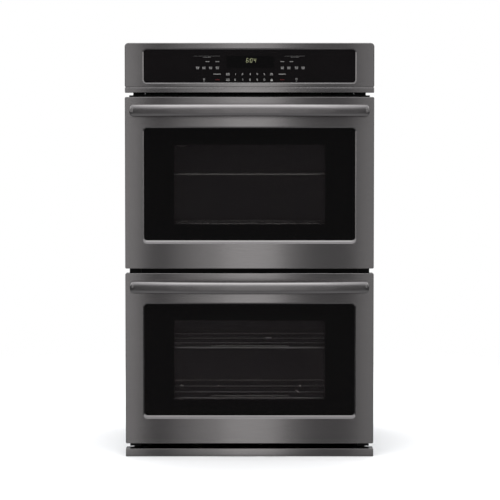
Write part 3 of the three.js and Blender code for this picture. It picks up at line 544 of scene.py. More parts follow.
def clear_share(axis_output, centre, half_extent, size):
    """Goes from 0 to 1 inside a band of the pane's width or height, given in metres."""
    offset = node(printed_glass, "ShaderNodeMath", {0: axis_output, 1: centre}, operation="SUBTRACT")
    distance = node(printed_glass, "ShaderNodeMath", {0: offset.outputs[0]}, operation="ABSOLUTE")
    return node(printed_glass, "ShaderNodeMapRange",
                {"Value": distance.outputs[0], "From Min": (half_extent + window_blur) / size,
                 "From Max": (half_extent - window_blur) / size, "To Min": 0.0, "To Max": 1.0})


across_window = clear_share(across.outputs["X"], 0.5, window_half_width, pane_size.x)
window_centre = 0.5 + window_rise / pane_size.z
up_window = clear_share(across.outputs["Z"], window_centre, window_half_height, pane_size.z)
in_window = node(printed_glass, "ShaderNodeMath",
                 {0: across_window.outputs[0], 1: up_window.outputs[0]}, operation="MULTIPLY")
screen_cover = 0.24
cover = node(printed_glass, "ShaderNodeMapRange",
             {"Value": in_window.outputs[0], "To Min": 1.0, "To Max": screen_cover})
# Painted light: the window's grey stands in for the inner pane's reflection and haze, not for a colour of
# the glass.
window_painted_haze_tint = node(printed_glass, "ShaderNodeMixRGB",
                   {"Fac": in_window.outputs[0],
                    "Color1": ink_tint.outputs[0], "Color2": linear("#292526")})
feed(shader, Base_Color=window_painted_haze_tint, Alpha=cover)


def pane(name, node_name, corner, material, body):
    """A flat pane with ground edges, in the place of its CAD node."""
    low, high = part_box(node_name)
    half_width = (high.x - low.x) / 2
    half_height = (high.z - low.z) / 2
    middle_z = (high.z + low.z) / 2
    ground = 0.7 * MM
    rings = [rounded_ring(half_width - inset, half_height - inset, corner - inset, y, middle_z)
             for inset, y in ((ground, low.y), (0, low.y + ground), (0, high.y - ground), (ground, high.y))]
    made = loft(name, rings, material, body)
    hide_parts(node_name)
    return made


for oven in ovens:
    outer = pane(oven + "_door_glass", oven + "_outer_glass", 14 * MM, printed_glass, oven + "_door")

# ---------------------------------------------------------------- inner door glass
# The inner pane is plain borosilicate glass, held by the door liner. It is nearly clear, with a faint
# cloudy film from cooking that varies over about 70 mm.
clear_pane, shader = new_material("clear_inner_glass", Roughness=0.03, IOR=1.47)
smears, smear_tint = mottle(clear_pane, 71.4 * MM, 5.0, "#545150", "#6c6967")[1:]
smear_alpha = node(clear_pane, "ShaderNodeMapRange",
                   {"Value": smears.outputs["Fac"], "From Min": 0.35, "From Max": 0.7,
                    "To Min": 0.03, "To Max": 0.07})
feed(shader, Base_Color=smear_tint, Alpha=smear_alpha)
for oven in ovens:
    inner = pane(oven + "_door_inner_glass", oven + "_inner_glass", 14 * MM, clear_pane, oven + "_door")

# ---------------------------------------------------------------- touch control panel
# One strip of black glass covers the controls. Keys, numbers and marks are printed on it in light grey,
# the off keys in dark red, and the clock shows through a darker display area.
panel_glass, shader = new_material("black_panel_glass", Roughness=0.06, IOR=1.52)
# Fingers leave it a little duller in patches about 90 mm across.
prints, panel_tint = mottle(panel_glass, 90.9 * MM, 4.0, "#100d0e", "#141112")[1:]
finger_rough = node(panel_glass, "ShaderNodeMapRange",
                    {"Value": prints.outputs["Fac"], "From Min": 0.3, "From Max": 0.7,
                     "To Min": 0.04, "To Max": 0.12})
feed(shader, Base_Color=panel_tint, Roughness=finger_rough)
panel = pane("touch_panel_glass", "touch_glass", 10 * MM, panel_glass, "oven_case")
panel_low, panel_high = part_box("touch_glass")
panel_face = panel_low.y
panel_middle = (panel_low.z + panel_high.z) / 2


def printed(name, first, second, **sockets):
    """Fired ink: two near tones, uneven over a screen mesh of 1.1 mm, as printing leaves it."""
    made, shader = new_material(name, **sockets)
    tint = mottle(made, 1.11 * MM, 2.0, first, second)[2]
    feed(shader, Base_Color=tint)
    return made, shader, tint


grey_ink = printed("light_grey_glass_ink", "#c4c2c1", "#dddbd8", Roughness=0.5)[0]
white_ink = printed("white_glass_ink", "#dddbd8", "#f4f2ee", Roughness=0.5)[0]
red_ink = printed("dark_red_glass_ink", "#7d2224", "#99302f", Roughness=0.5)[0]
display_film = printed("smoked_display_film", "#060506", "#0a0909", Roughness=0.08)[0]
lit_segments, shader, tint = printed("lit_clock_segments", "#a8ab84", "#c3c79a", Roughness=0.4,
                                     Emission_Strength=0.22)
feed(shader, Emission_Color=tint)


class Print:
    """Marks laid on the panel, placed in millimetres across and up from its middle."""

    def __init__(self, name, material, lift):
        self.name = name
        self.material = material
        self.near = panel_face - lift
        self.far = panel_face - 0.02 * MM
        self.points = []
        self.faces = []

    def stroke(self, corners):
        """A flat convex mark; corners run round it as x and z."""
        start = len(self.points)
        count = len(corners)
        for y in (self.near, self.far):
            self.points += [(x * MM, y, panel_middle + z * MM) for x, z in corners]
        self.faces.append(tuple(range(start, start + count)))
        self.faces.append(tuple(range(start + 2 * count - 1, start + count - 1, -1)))
        for i in range(count):
            j = (i + 1) % count
            self.faces.append((start + i, start + count + i, start + count + j, start + j))

    def bar(self, x, z, width, height, slant=0.0):
        """A mark standing on its middle, leaning over by slant."""
        lean = slant * height / 2
        self.stroke([(x - width / 2 - lean, z - height / 2), (x + width / 2 - lean, z - height / 2),
                     (x + width / 2 + lean, z + height / 2), (x - width / 2 + lean, z + height / 2)])

    def ring(self, x, z, radius, line, start=0.0, end=360.0, steps=14):
        """An arc of a ring, in degrees."""
        for i in range(steps):
            a = math.radians(start + (end - start) * i / steps)
            b = math.radians(start + (end - start) * (i + 1) / steps)
            outer, inner = radius + line / 2, radius - line / 2
            self.stroke([(x + outer * math.cos(a), z + outer * math.sin(a)),
                         (x + outer * math.cos(b), z + outer * math.sin(b)),
                         (x + inner * math.cos(b), z + inner * math.sin(b)),
                         (x + inner * math.cos(a), z + inner * math.sin(a))])

    def digit(self, value, x, z, width, height, line, slant=0.0, spare=0.0):
        """A seven-segment figure, whose segments stop short of their corners by a spare length."""
        lit = {"0": "abcdef", "1": "bc", "2": "abged", "3": "abgcd", "4": "fgbc",
               "5": "afgcd", "6": "afgecd", "7": "abc", "8": "abcdefg", "9": "abcdfg"}[value]
        quarter = height / 4
        for segment in lit:
            if segment in "agd":
                rise = {"a": height / 2, "g": 0.0, "d": -height / 2}[segment]
                self.bar(x + slant * rise, z + rise, width - line - spare, line)
            else:
                side = width / 2 if segment in "bc" else -width / 2
                rise = quarter if segment in "bf" else -quarter
                self.bar(x + side + slant * rise, z + rise, line, height / 2 + line - 2 * spare, slant)

    def words(self, x, z, widths, height, gap=1.2):
        """A line of upright ticks in place of words, grouped to each word's width."""
        left = x - (sum(widths) + gap * (len(widths) - 1)) / 2
        tick = 0.75
        pitch = 1.05
        for width in widths:
            for i in range(max(1, round(width / pitch))):
                self.bar(left + tick / 2 + i * pitch, z, tick, height)
            left += width + gap

    def finish(self):
        """Lays the marks on the panel."""
        made = mesh_piece(self.name, self.points, self.faces, self.material, "oven_case")
        return made


grey = Print("panel_grey_print", grey_ink, 0.10 * MM)
white = Print("panel_white_print", white_ink, 0.10 * MM)
red = Print("panel_red_print", red_ink, 0.10 * MM)
display = Print("display_window", display_film, 0.06 * MM)
clock = Print("clock_digits", lit_segments, 0.12 * MM)

# A thin rule and a title stand over each side's headings and its four keys. The two lowest rows hold
# the start and off words, the lamp marks and the numbers.
rule_z, title_z, heading_z = 30.15, 26.95, 13.25
key_upper_z, key_lower_z = -3.75, -8.05
upper_row, lower_row = -24.75, -41.95
for start_x, end_x in ((-170, -91), (107, 170)):
    middle_x = (start_x + end_x) / 2
    grey.bar(middle_x, rule_z, end_x - start_x, 0.2)
    grey.words(middle_x, title_z, (3.4, 3.0, 3.6, 3.0, 3.4), 1.0, gap=1.6)
for x in (-128.4, -97.8, 100.3, 127.8):
    grey.words(x, heading_z, (3.0, 2.4, 3.0), 2.2, gap=1.0)
for x in (-158.3, -138.8, -118.3, -98.1, 100.6, 120.4, 143.7, 163.8):
    grey.words(x, key_upper_z, (4.6, 4.6), 2.5, gap=0.7)
    grey.words(x, key_lower_z, (3.4, 4.4), 2.5, gap=0.7)
for x in (-98.7, 100.0):
    white.words(x, upper_row, (3.4, 3.4, 3.4, 3.4, 3.4), 2.3, gap=1.1)
for x in (-97.8, 100.3):
    red.words(x, lower_row, (3.4, 3.4, 3.4), 2.2, gap=1.3)
# Lamp keys: a round bulb with its thread, over a cap of two lines.
for x in (-138.8, 143.3):
    grey.ring(x, lower_row + 1.5, 2.7, 0.9, -60, 240)
    grey.bar(x, lower_row - 3.3, 2.4, 0.8)
    grey.bar(x, lower_row - 4.7, 1.8, 0.7)
    grey.bar(x, lower_row + 1.1, 0.7, 3.0)
for z in (upper_row, lower_row):
    grey.words(-65.7, z + 2.0, (4.6, 5.6), 2.3, gap=0.7)
    grey.words(-65.7, z - 2.2, (6.4, 4.6), 2.3, gap=0.7)
grey.words(67.2, upper_row + 1.9, (2.6, 3.6), 2.3, gap=0.7)
grey.words(67.2, upper_row - 2.1, (4.2, 4.0), 2.3, gap=0.7)
# Lock key: a padlock's body under its shackle.
grey.bar(67.5, lower_row - 1.7, 7.0, 4.6)
grey.ring(67.5, lower_row + 0.7, 2.3, 0.9, 0, 180)
for row, z in (("12345", upper_row), ("67890", lower_row)):
    for value, x in zip(row, (-44.0, -21.7, 1.5, 23.5, 45.2)):
        grey.digit(value, x, z, 2.9, 5.0, 0.95)
# The display area is 145 by 37 mm, and the clock's digits 12.2 mm high, with a colon of two dots.
display_z, clock_z = 12.05, 16.95
display.bar(2.5, display_z, 145, 37)
for value, x in (("6", -6.6), ("0", 5.4), ("4", 16.2)):
    clock.digit(value, x, clock_z, 5.6, 12.2, 1.2, slant=0.12, spare=0.9)
clock.bar(-0.6, clock_z + 3.0, 1.3, 1.4)
clock.bar(-1.2, clock_z - 2.8, 1.3, 1.4)
for marks in (grey, white, red, display, clock):
    marks.finish()

# ---------------------------------------------------------------- oven racks
# Each rack is welded from 6 mm frame wire and 3.5 mm cross wire, then plated with nickel and chrome.
# The wires slide on the cavity's pressed ribs, and a short grip bar stands behind the front wire.
chrome_wire, shader = new_material("chrome_plated_wire", Metallic=1.0, Roughness=0.22)
# Plating is bright, and yellows and dulls in patches about 45 mm long where the oven has heated it.
spot, heat, heat_tint = mottle(chrome_wire, 45.5 * MM, 3.0, "#a9a39a", "#d2d1cf")
# Drawing lines run along the wire about 0.05 mm apart. They are drawn at 0.7 mm so that they show.
line_spacing = 0.714 * MM
draw_lines = node(chrome_wire, "ShaderNodeTexNoise",
                  {"Vector": spot.outputs["Object"], "Scale": 1 / line_spacing})
draw_bump = node(chrome_wire, "ShaderNodeBump",
                 {"Height": draw_lines.outputs["Fac"], "Strength": 0.08, "Distance": 0.2 * MM})
heat_rough = node(chrome_wire, "ShaderNodeMapRange",
                  {"Value": heat.outputs["Fac"], "To Min": 0.16, "To Max": 0.32})
feed(shader, Base_Color=heat_tint, Roughness=heat_rough, Normal=draw_bump)


def rod(points, radius, sides=10, closed=False):
    """Points and faces of a round rod along a line, with flat ends unless it closes on itself."""
    line = [Vector(p) for p in points]
    count = len(line)
    made = []
    side = None
    for i, here in enumerate(line):
        before = line[i - 1] if closed or i > 0 else here
        after = line[(i + 1) % count] if closed or i < count - 1 else here
        along = (after - before).normalized()
        if side is None:
            side = along.orthogonal().normalized()
        side = (side - along * side.dot(along)).normalized()
        other = along.cross(side)
        for k in range(sides):
            angle = k / sides * 2 * math.pi
            made.append(here + radius * (math.cos(angle) * side + math.sin(angle) * other))
    return made, skin_faces(count, sides, closed)


def rods_piece(name, rods, material, body, smooth_angle=50):
    """Several rods in one mesh."""
    points = []
    faces = []
    for rod_points, rod_faces in rods:
        start = len(points)
        points += rod_points
        faces += [tuple(start + i for i in face) for face in rod_faces]
    return mesh_piece(name, points, faces, material, body, smooth_angle)


def level_loop(half_x, front, back, radius, z, steps=6):
    """A rounded rectangle lying level."""
    middle_y = (front + back) / 2
    ring = rounded_ring(half_x, (back - front) / 2, radius, 0, 0, steps=steps)
    return [(x, middle_y + y, z) for x, _, y in ring]


# Wire radii. Cross wires lie on top of the wires that support them.
frame_wire = 3.0 * MM
support_wire = 2.4 * MM
grip_wire = 2.6 * MM
cross_wire = 1.8 * MM
wire_lift = 0.6 * MM
rack_bars = 23
grip_half = 127 * MM
grip_behind = 50 * MM
for oven in ovens:
    for level in ("low", "high"):
        node_name = oven + "_rack_" + level
        low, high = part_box(node_name)
        z = (low.z + high.z) / 2
        half = high.x - frame_wire
        front = low.y + frame_wire
        back = high.y - frame_wire
        wires = [rod(level_loop(half, front, back, 16 * MM, z), frame_wire, closed=True)]
        for share in (0.335, 0.656, 0.97):
            y = front + share * (back - front)
            wires.append(rod([(-half, y, z - wire_lift), (half, y, z - wire_lift)], support_wire))
        for i in range(rack_bars):
            x = -half + (i + 1) * 2 * half / (rack_bars + 1)
            start = front + grip_behind if abs(x) < grip_half else front
            wires.append(rod([(x, start, z + wire_lift), (x, back, z + wire_lift)], cross_wire, sides=8))
        # The grip wire goes back from the front wire, bends twice and crosses behind it.
        half_grip = [(grip_half, front, z), (grip_half, front + 0.7 * grip_behind, z),
                     (grip_half - 4 * MM, front + 0.92 * grip_behind, z),
                     (grip_half - 12 * MM, front + grip_behind, z)]
        grip = [(-x, y, z) for x, y, z in half_grip] + half_grip[::-1]
        wires.append(rod(grip, grip_wire))
        rack = rods_piece(oven + "_wire_rack_" + level, wires, chrome_wire, node_name)
        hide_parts(node_name)

# ---------------------------------------------------------------- oven cavities
# The cavity is drawn from steel sheet, welded at its mouth to a flat front flange, and coated with
# speckled dark blue-black vitreous enamel. Six pressed ribs on each wall carry the racks.
enamel, shader = new_material("speckled_vitreous_enamel", Roughness=0.3, IOR=1.5, Coat_Weight=0.35,
                              Coat_Roughness=0.12)
# The ground coat clouds over about 200 mm. White specks are about 1 mm across, in cells of 3.85 mm,
# and the glaze has an orange peel of 6 mm.
wall, _, base_tint = mottle(enamel, 200 * MM, 3.0, "#1a1c21", "#262930")
speck_cell = 3.85 * MM
specks = node(enamel, "ShaderNodeTexVoronoi", {"Vector": wall.outputs["Object"], "Scale": 1 / speck_cell})
speck_share = node(enamel, "ShaderNodeMapRange",
                   {"Value": specks.outputs["Distance"], "From Min": 0.10, "From Max": 0.16,
                    "To Min": 1.0, "To Max": 0.0})
pick = node(enamel, "ShaderNodeMapRange",
            {"Value": specks.outputs["Color"], "From Min": 0.55, "From Max": 0.6})
speck = node(enamel, "ShaderNodeMath",
             {0: speck_share.outputs[0], 1: pick.outputs[0]}, operation="MULTIPLY")
enamel_tint = node(enamel, "ShaderNodeMixRGB",
                   {"Fac": speck.outputs[0], "Color1": base_tint.outputs[0], "Color2": linear("#8d929c")})
peel_spacing = 6.25 * MM
orange_peel = node(enamel, "ShaderNodeTexNoise",
                   {"Vector": wall.outputs["Object"], "Scale": 1 / peel_spacing})
peel_bump = node(enamel, "ShaderNodeBump",
                 {"Height": orange_peel.outputs["Fac"], "Strength": 0.12, "Distance": 0.5 * MM})
feed(shader, Base_Color=enamel_tint, Normal=peel_bump)

cavity_cove = 18 * MM
flange_corner = 3 * MM
gasket_lap = 14 * MM
wall_sheet = 1.5 * MM
mouth_roll = 2.5 * MM
rib_rise = 8 * MM
rib_reach = 9 * MM
rack_levels = 6
rack_pitch = 52.8 * MM
rack_wire_half = 3.4 * MM
rib_front, rib_back = 16 * MM, 24 * MM
rib_taper = 8 * MM
rib_end_share = 0.3
for oven in ovens:
    low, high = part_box(oven + "_cavity")
    gasket_low, gasket_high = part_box(oven + "_gasket")
    half_x = gasket_high.x - gasket_lap
    half_z = (gasket_high.z - gasket_low.z) / 2 - gasket_lap
    mouth_z = (gasket_high.z + gasket_low.z) / 2
    flange_z = (high.z + low.z) / 2
    flange_half = (high.z - low.z) / 2

    def mouth(inset, y):
        return rounded_ring(half_x - inset, half_z - inset, max(cavity_cove - inset, MM), y, mouth_z)

    back = high.y - wall_sheet
    # The skin runs up the outside to the flange, rolls in at the mouth, and goes back inside to the cove.
    rings = [mouth(cavity_cove, high.y), mouth(0.3 * cavity_cove - wall_sheet, high.y - 0.3 * cavity_cove),
             mouth(-wall_sheet, high.y - cavity_cove), mouth(-wall_sheet, low.y + wall_sheet),
             rounded_ring(high.x, flange_half, flange_corner, low.y + wall_sheet, flange_z),
             rounded_ring(high.x, flange_half, flange_corner, low.y, flange_z),
             mouth(-mouth_roll, low.y), mouth(-0.4 * mouth_roll, low.y + 0.3 * mouth_roll),
             mouth(0, low.y + mouth_roll)]
    for inset, short in ((0, 1), (0.08, 0.6), (0.3, 0.3), (0.6, 0.08), (1, 0)):
        rings.append(mouth(inset * cavity_cove, back - short * cavity_cove))
    shell = loft(oven + "_cavity_shell", rings, enamel, "oven_case", smooth_angle=55)
    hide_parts(oven + "_cavity")
    rack_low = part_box(oven + "_rack_low")[0].z + 3 * MM
    ribs = []
    for level in range(rack_levels):
        z = rack_low + (level - 1) * rack_pitch - rack_wire_half - rib_rise / 2
        for sign in (-1, 1):
            x = sign * half_x
            start, end = low.y + rib_front, back - rib_back
            line = [(x, y, z) for y in (start, start + rib_taper, end - rib_taper, end)]
            points, faces = rod(line, rib_rise / 2, sides=14)
            count = len(points) // len(line)
            for i, p in enumerate(points):
                at_end = i < count or i >= len(points) - count
                p.x = x + (p.x - x) * (rib_end_share if at_end else rib_reach / (rib_rise / 2))
            ribs.append((points, faces))
    rib_piece = rods_piece(oven + "_rack_ribs", ribs, enamel, "oven_case")

# ---------------------------------------------------------------- door seals
# A rope of braided glass fibre over a wire spring, clipped round the oven's mouth.
# The braid is charcoal grey and matt, with a fine woven relief.
fibre_rope, shader = new_material("braided_glass_fibre", Roughness=0.9, Sheen_Weight=0.3)
rope_place = node(fibre_rope, "ShaderNodeTexCoord")
# Strands lie 2.8 mm apart and cross. A diagonal wave repeats each 2 pi / (10 x root 3 x scale) metres.
strand_spacing = 2.79 * MM
braid_scale = 2 * math.pi / (10 * math.sqrt(3) * strand_spacing)
mirror_space = node(fibre_rope, "ShaderNodeMapping",
                    {"Vector": rope_place.outputs["Object"], "Scale": (-1.0, 1.0, 1.0)})
strands = [node(fibre_rope, "ShaderNodeTexWave", {"Vector": lay, "Scale": braid_scale},
                bands_direction="DIAGONAL")
           for lay in (rope_place.outputs["Object"], mirror_space.outputs[0])]
weave = node(fibre_rope, "ShaderNodeMath",
             {0: strands[0].outputs["Fac"], 1: strands[1].outputs["Fac"]}, operation="MAXIMUM")
rope_tint = node(fibre_rope, "ShaderNodeMixRGB",
                 {"Fac": weave.outputs[0], "Color1": linear("#232425"), "Color2": linear("#4a4b4c")})
weave_bump = node(fibre_rope, "ShaderNodeBump",
                  {"Height": weave.outputs[0], "Strength": 0.5, "Distance": 0.6 * MM})
feed(shader, Base_Color=rope_tint, Normal=weave_bump)
rope_radius = 4 * MM
rope_bend = 20 * MM
for oven in ovens:
    low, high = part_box(oven + "_gasket")
    centre = (low + high) / 2
    line = rounded_ring(high.x - rope_radius, (high.z - low.z) / 2 - rope_radius, rope_bend, centre.y,
                        centre.z, steps=10)
    rope = rods_piece(oven + "_door_seal", [rod(line, rope_radius, sides=14, closed=True)],
                      fibre_rope, "oven_case")
    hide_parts(oven + "_gasket")

# ---------------------------------------------------------------- heating elements
# Each element is a resistance wire packed in a steel tube, bent to shape and oxidised dark.
# Its two ends pass through a plate on the back wall.
sheath, shader = new_material("oxidised_element_sheath", Metallic=0.5, Roughness=0.68)
# Oxide scale leaves it dull and brown-black, in marks about 17 mm long.
scale_marks, sheath_tint = mottle(sheath, 16.7 * MM, 5.0, "#1f1d1c", "#4b4542")[1:]
sheath_bump = node(sheath, "ShaderNodeBump",
                   {"Height": scale_marks.outputs["Fac"], "Strength": 0.25, "Distance": 0.3 * MM})
feed(shader, Base_Color=sheath_tint, Normal=sheath_bump)


def bent_route(corners, bend, z, steps=6):
    """A level line through corners, each rounded to one bend."""
    points = [(corners[0][0], corners[0][1], z)]
    for before, corner, after in zip(corners, corners[1:], corners[2:]):
        into = (Vector(before) - Vector(corner)).normalized() * bend
        out = (Vector(after) - Vector(corner)).normalized() * bend
        centre = Vector(corner) + into + out
        for step in range(steps + 1):
            angle = step / steps * math.pi / 2
            p = centre - out * math.cos(angle) - into * math.sin(angle)
            points.append((p.x, p.y, z))
    points.append((corners[-1][0], corners[-1][1], z))
    return points


tube_radius = 3.3 * MM
tube_bend = 24 * MM
terminal_x = 32 * MM
plate_half = 48 * MM
plate_thickness = 1.5 * MM
bush_radius = 6 * MM
bush_length = 12 * MM
for oven in ovens:
    for use, inner_width in (("bake", 105 * MM), ("broil", 90 * MM)):
        node_name = oven + "_" + use + "_element"
        low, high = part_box(node_name)
        z = (low.z + high.z) / 2
        side = high.x - tube_radius
        front = low.y + tube_radius
        rear_run = high.y - 60 * MM
        inner_rear = rear_run - 80 * MM
        corners = [(-terminal_x, high.y), (-terminal_x, rear_run), (-side, rear_run), (-side, front),
                   (-side + inner_width, front), (-side + inner_width, inner_rear),
                   (-0.45 * inner_width, inner_rear), (-0.45 * inner_width, front)]
        corners += [(-x, y) for x, y in reversed(corners)]
        tubes = [rod(bent_route(corners, tube_bend, z), tube_radius, sides=12)]
        plate_y = high.y - plate_thickness
        tubes.append(rod([(-plate_half, plate_y, z), (plate_half, plate_y, z)], 1.2 * MM))
        for x in (-terminal_x, terminal_x):
            tubes.append(rod([(x, high.y - bush_length, z), (x, high.y - MM, z)], bush_radius, sides=14))
        element = rods_piece(oven + "_" + use + "_heater", tubes, sheath, "oven_case")
        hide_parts(node_name)

# ---------------------------------------------------------------- oven lamps and temperature probes
# The lamp sits behind a moulded glass dome with rings pressed into it. The probe is a plain steel tube
# with a closed tip, held by a small flange on the back wall.
lamp_glass, shader = new_material("moulded_lamp_glass", Roughness=0.18, IOR=1.47, Alpha=0.82)
# Pressed glass is greenish and a little wavy, over about 11 mm.
seeds, dome_tint = mottle(lamp_glass, 11.1 * MM, 3.0, "#8f9692", "#b4bab6")[1:]
dome_bump = node(lamp_glass, "ShaderNodeBump",
                 {"Height": seeds.outputs["Fac"], "Strength": 0.2, "Distance": 0.6 * MM})
feed(shader, Base_Color=dome_tint, Normal=dome_bump)


def turned(profile, centre, axis, sides=28):
    """Points and faces of a turned solid. profile is radius and reach along the axis, from axis to axis."""
    along = Vector(axis).normalized()
    side = along.orthogonal().normalized()
    other = along.cross(side)
    points = []
    for radius, reach in profile:
        for k in range(sides):
            angle = k / sides * 2 * math.pi
            out = math.cos(angle) * side + math.sin(angle) * other
            points.append(Vector(centre) + along * reach + radius * out)
    return points, skin_faces(len(profile), sides)


ring_count = 6
ring_steps = 4 * ring_count
ring_height = 0.5 * MM
rim_height = 7 * MM
pole = 0.4 * MM
for oven in ovens:
    low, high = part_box(oven + "_lamp_cover")
    foot = ((low.x + high.x) / 2, high.y, (low.z + high.z) / 2)
    dome_reach = high.y - low.y
    dome_radius = (high.x - low.x) / 2
    dome = [(pole, 0), (dome_radius, 0), (dome_radius, 5 * MM), (0.94 * dome_radius, rim_height)]
    for i in range(ring_steps + 1):
        share = i / ring_steps
        ripple = ring_height * math.sin(share * ring_count * 2 * math.pi)
        angle = share * math.pi / 2
        dome.append((max(pole, (0.86 * dome_radius + ripple) * math.cos(angle)),
                     rim_height + (dome_reach - rim_height - 0.6 * MM) * math.sin(angle)))
    lens = rods_piece(oven + "_lamp_dome", [turned(dome, foot, (0, -1, 0))], lamp_glass, "oven_case")
    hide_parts(oven + "_lamp_cover")
    low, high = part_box(oven + "_temperature_probe")
    foot = ((low.x + high.x) / 2, high.y, (low.z + high.z) / 2)
    probe_length = high.y - low.y
    tube = [(0.3 * MM, 0), (9.5 * MM, 0), (9.5 * MM, 1.5 * MM), (4 * MM, 2.2 * MM), (4 * MM, 6 * MM),
            (2.6 * MM, 7 * MM), (2.6 * MM, probe_length - 3 * MM), (2.2 * MM, probe_length - 1.4 * MM),
            (1.2 * MM, probe_length - 0.3 * MM), (0.2 * MM, probe_length)]
    probe = rods_piece(oven + "_probe_tube", [turned(tube, foot, (0, -1, 0), 16)], chrome_wire, "oven_case")
    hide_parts(oven + "_temperature_probe")

# ---------------------------------------------------------------- door liners
# The inside of each door is a pressed sheet in the cavity's enamel, stepped out round its window and
# notched for the hinge arms, with a slot near the top that the latch hook enters.
for oven in ovens:
    low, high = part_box(oven + "_door_liner")
    glass_low, glass_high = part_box(oven + "_inner_glass")
    middle_z = (low.z + high.z) / 2
    glass_middle = (glass_low.z + glass_high.z) / 2
    half_width = high.x
    half_height = (high.z - low.z) / 2
    window_x = glass_high.x - 8 * MM
    window_z = (glass_high.z - glass_low.z) / 2 - 8 * MM
    sheet = 1.2 * MM
    face = high.y
    stepped = face - 2.2 * MM
    behind = face - sheet - 0.6 * MM
    seal_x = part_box(oven + "_gasket")[1].x + 9 * MM

    def edge_ring(inset, y):
        return rounded_ring(half_width - inset, half_height - inset, 4 * MM, y, middle_z)

    def step_ring(inset, y):
        return rounded_ring(seal_x - 38 * MM - inset, window_z + 62 * MM - inset, 26 * MM, y,
                            glass_middle)

    def window_ring(outset, y):
        return rounded_ring(window_x + outset, window_z + outset, 14 * MM + outset, y, glass_middle)

    # From the outer edge in over the face, down the step to the window, and back behind the sheet.
    rings = [edge_ring(0, low.y), edge_ring(0, face - 2 * MM), edge_ring(0.6 * MM, face - 0.6 * MM),
             edge_ring(2 * MM, face), edge_ring(2.4 * MM, face),
             step_ring(-4 * MM, face), step_ring(-3.4 * MM, face), step_ring(-2 * MM, face - 0.88 * MM),
             step_ring(0, stepped), step_ring(0.4 * MM, stepped),
             window_ring(2.6 * MM, stepped), window_ring(1.2 * MM, stepped - 0.3 * MM),
             window_ring(0.3 * MM, stepped - 1.2 * MM), window_ring(0.3 * MM, stepped - 1.5 * MM),
             window_ring(1.6 * MM, stepped - 1.5 * MM), step_ring(0.4 * MM, stepped - sheet),
             step_ring(-4 * MM, behind), edge_ring(sheet + MM, behind), edge_ring(sheet, low.y)]
    liner = loft(oven + "_liner_pressing", rings, enamel, oven + "_door", closed=True, smooth_angle=40)
    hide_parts(oven + "_door_liner")
    cuts = []
    for side in ("left", "right"):
        arm_low, arm_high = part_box(oven + "_hinge_arm_" + side)
        cuts.append(((arm_low.x - 1.5 * MM, low.y - 5 * MM, low.z - 5 * MM),
                     (arm_high.x + 1.5 * MM, face + 5 * MM, arm_high.z + 3 * MM)))
    hook_low, hook_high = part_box(oven + "_latch_hook")
    cuts.append(((hook_low.x + 2 * MM, face - 6 * MM, hook_low.z - 2.5 * MM),
                 (hook_high.x + 10 * MM, face + 1 * MM, hook_high.z + 2.5 * MM)))
    cut_away(liner, cuts)

# ---------------------------------------------------------------- galvanised case
# Panels are roll-formed from hot-dip galvanised steel, whose zinc freezes into soft grey spangles.
# Long pressed beads stiffen the sides, and hexagon washer-head screws hold the panels.
galvanised, shader = new_material("hot_dip_galvanised_sheet", Metallic=0.85, Roughness=0.42)
panel_place = node(galvanised, "ShaderNodeTexCoord")
# Spangles are about 12 mm across, and dust lies unevenly over about 170 mm.
spangle_size = 11.8 * MM
dust_patch = 167 * MM
spangle = node(galvanised, "ShaderNodeTexVoronoi",
               {"Vector": panel_place.outputs["Object"], "Scale": 1 / spangle_size, "Randomness": 1.0})
spangle_share = node(galvanised, "ShaderNodeSeparateXYZ", {"Vector": spangle.outputs["Color"]})
dust = node(galvanised, "ShaderNodeTexNoise",
            {"Vector": panel_place.outputs["Object"], "Scale": 1 / dust_patch, "Detail": 5.0})
spangle_tint = node(galvanised, "ShaderNodeMixRGB",
                    {"Fac": spangle_share.outputs["X"],
                     "Color1": linear("#85898c"), "Color2": linear("#9da1a3")})
dusty_tint = node(galvanised, "ShaderNodeMixRGB",
                  {"Fac": dust.outputs["Fac"],
                   "Color1": spangle_tint.outputs[0], "Color2": linear("#7f8386")})
spangle_rough = node(galvanised, "ShaderNodeMapRange",
                     {"Value": spangle_share.outputs["Y"], "To Min": 0.34, "To Max": 0.52})
zinc_bump = node(galvanised, "ShaderNodeBump",
                 {"Height": dust.outputs["Fac"], "Strength": 0.08, "Distance": 2 * MM})
feed(shader, Base_Color=dusty_tint, Roughness=spangle_rough, Normal=zinc_bump)


def dress(node_names, material):
    """Gives CAD nodes, whose shape stays, their finish."""
    for node_name in node_names:
        for material_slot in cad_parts[node_name].material_slots:
            material_slot.material = material


def dome_bead(x, axis_points, half_width, rise, sign, sides=9):
    """A long half-round bead on an upright panel at x, from its first to its last y and z point."""
    start, end = Vector((0, *axis_points[0])), Vector((0, *axis_points[1]))
    along = (end - start).normalized()
    across_bead = Vector((0, -along.z, along.y))
    points = []
    tips = ((0.0, 0.15), (0.25, 0.6), (0.7, 0.92), (1.2, 1.0))
    stations = [(start + along * (half_width * t), share) for t, share in tips]
    stations += [(end - along * (half_width * t), share) for t, share in reversed(tips)]
    for centre, share in stations:
        for k in range(sides):
            angle = math.pi * k / (sides - 1)
            p = centre + across_bead * (half_width * share * math.cos(angle))
            points.append(Vector((x + sign * rise * share * math.sin(angle), p.y, p.z)))
    return points, skin_faces(len(stations), sides)


def screw(centre, axis):
    """A hexagon washer-head sheet-metal screw, 8 mm over its washer."""
    washer = turned([(0.2 * MM, 0), (4 * MM, 0), (4 * MM, 0.5 * MM), (3.6 * MM, 0.8 * MM),
                     (0.2 * MM, 0.8 * MM)], centre, axis, 18)
    head = turned([(0.2 * MM, 0.6 * MM), (2.9 * MM, 0.6 * MM), (2.9 * MM, 3.0 * MM), (2.4 * MM, 3.4 * MM),
                   (1.6 * MM, 3.2 * MM), (0.2 * MM, 2.7 * MM)], centre, axis, 6)
    return [washer, head]


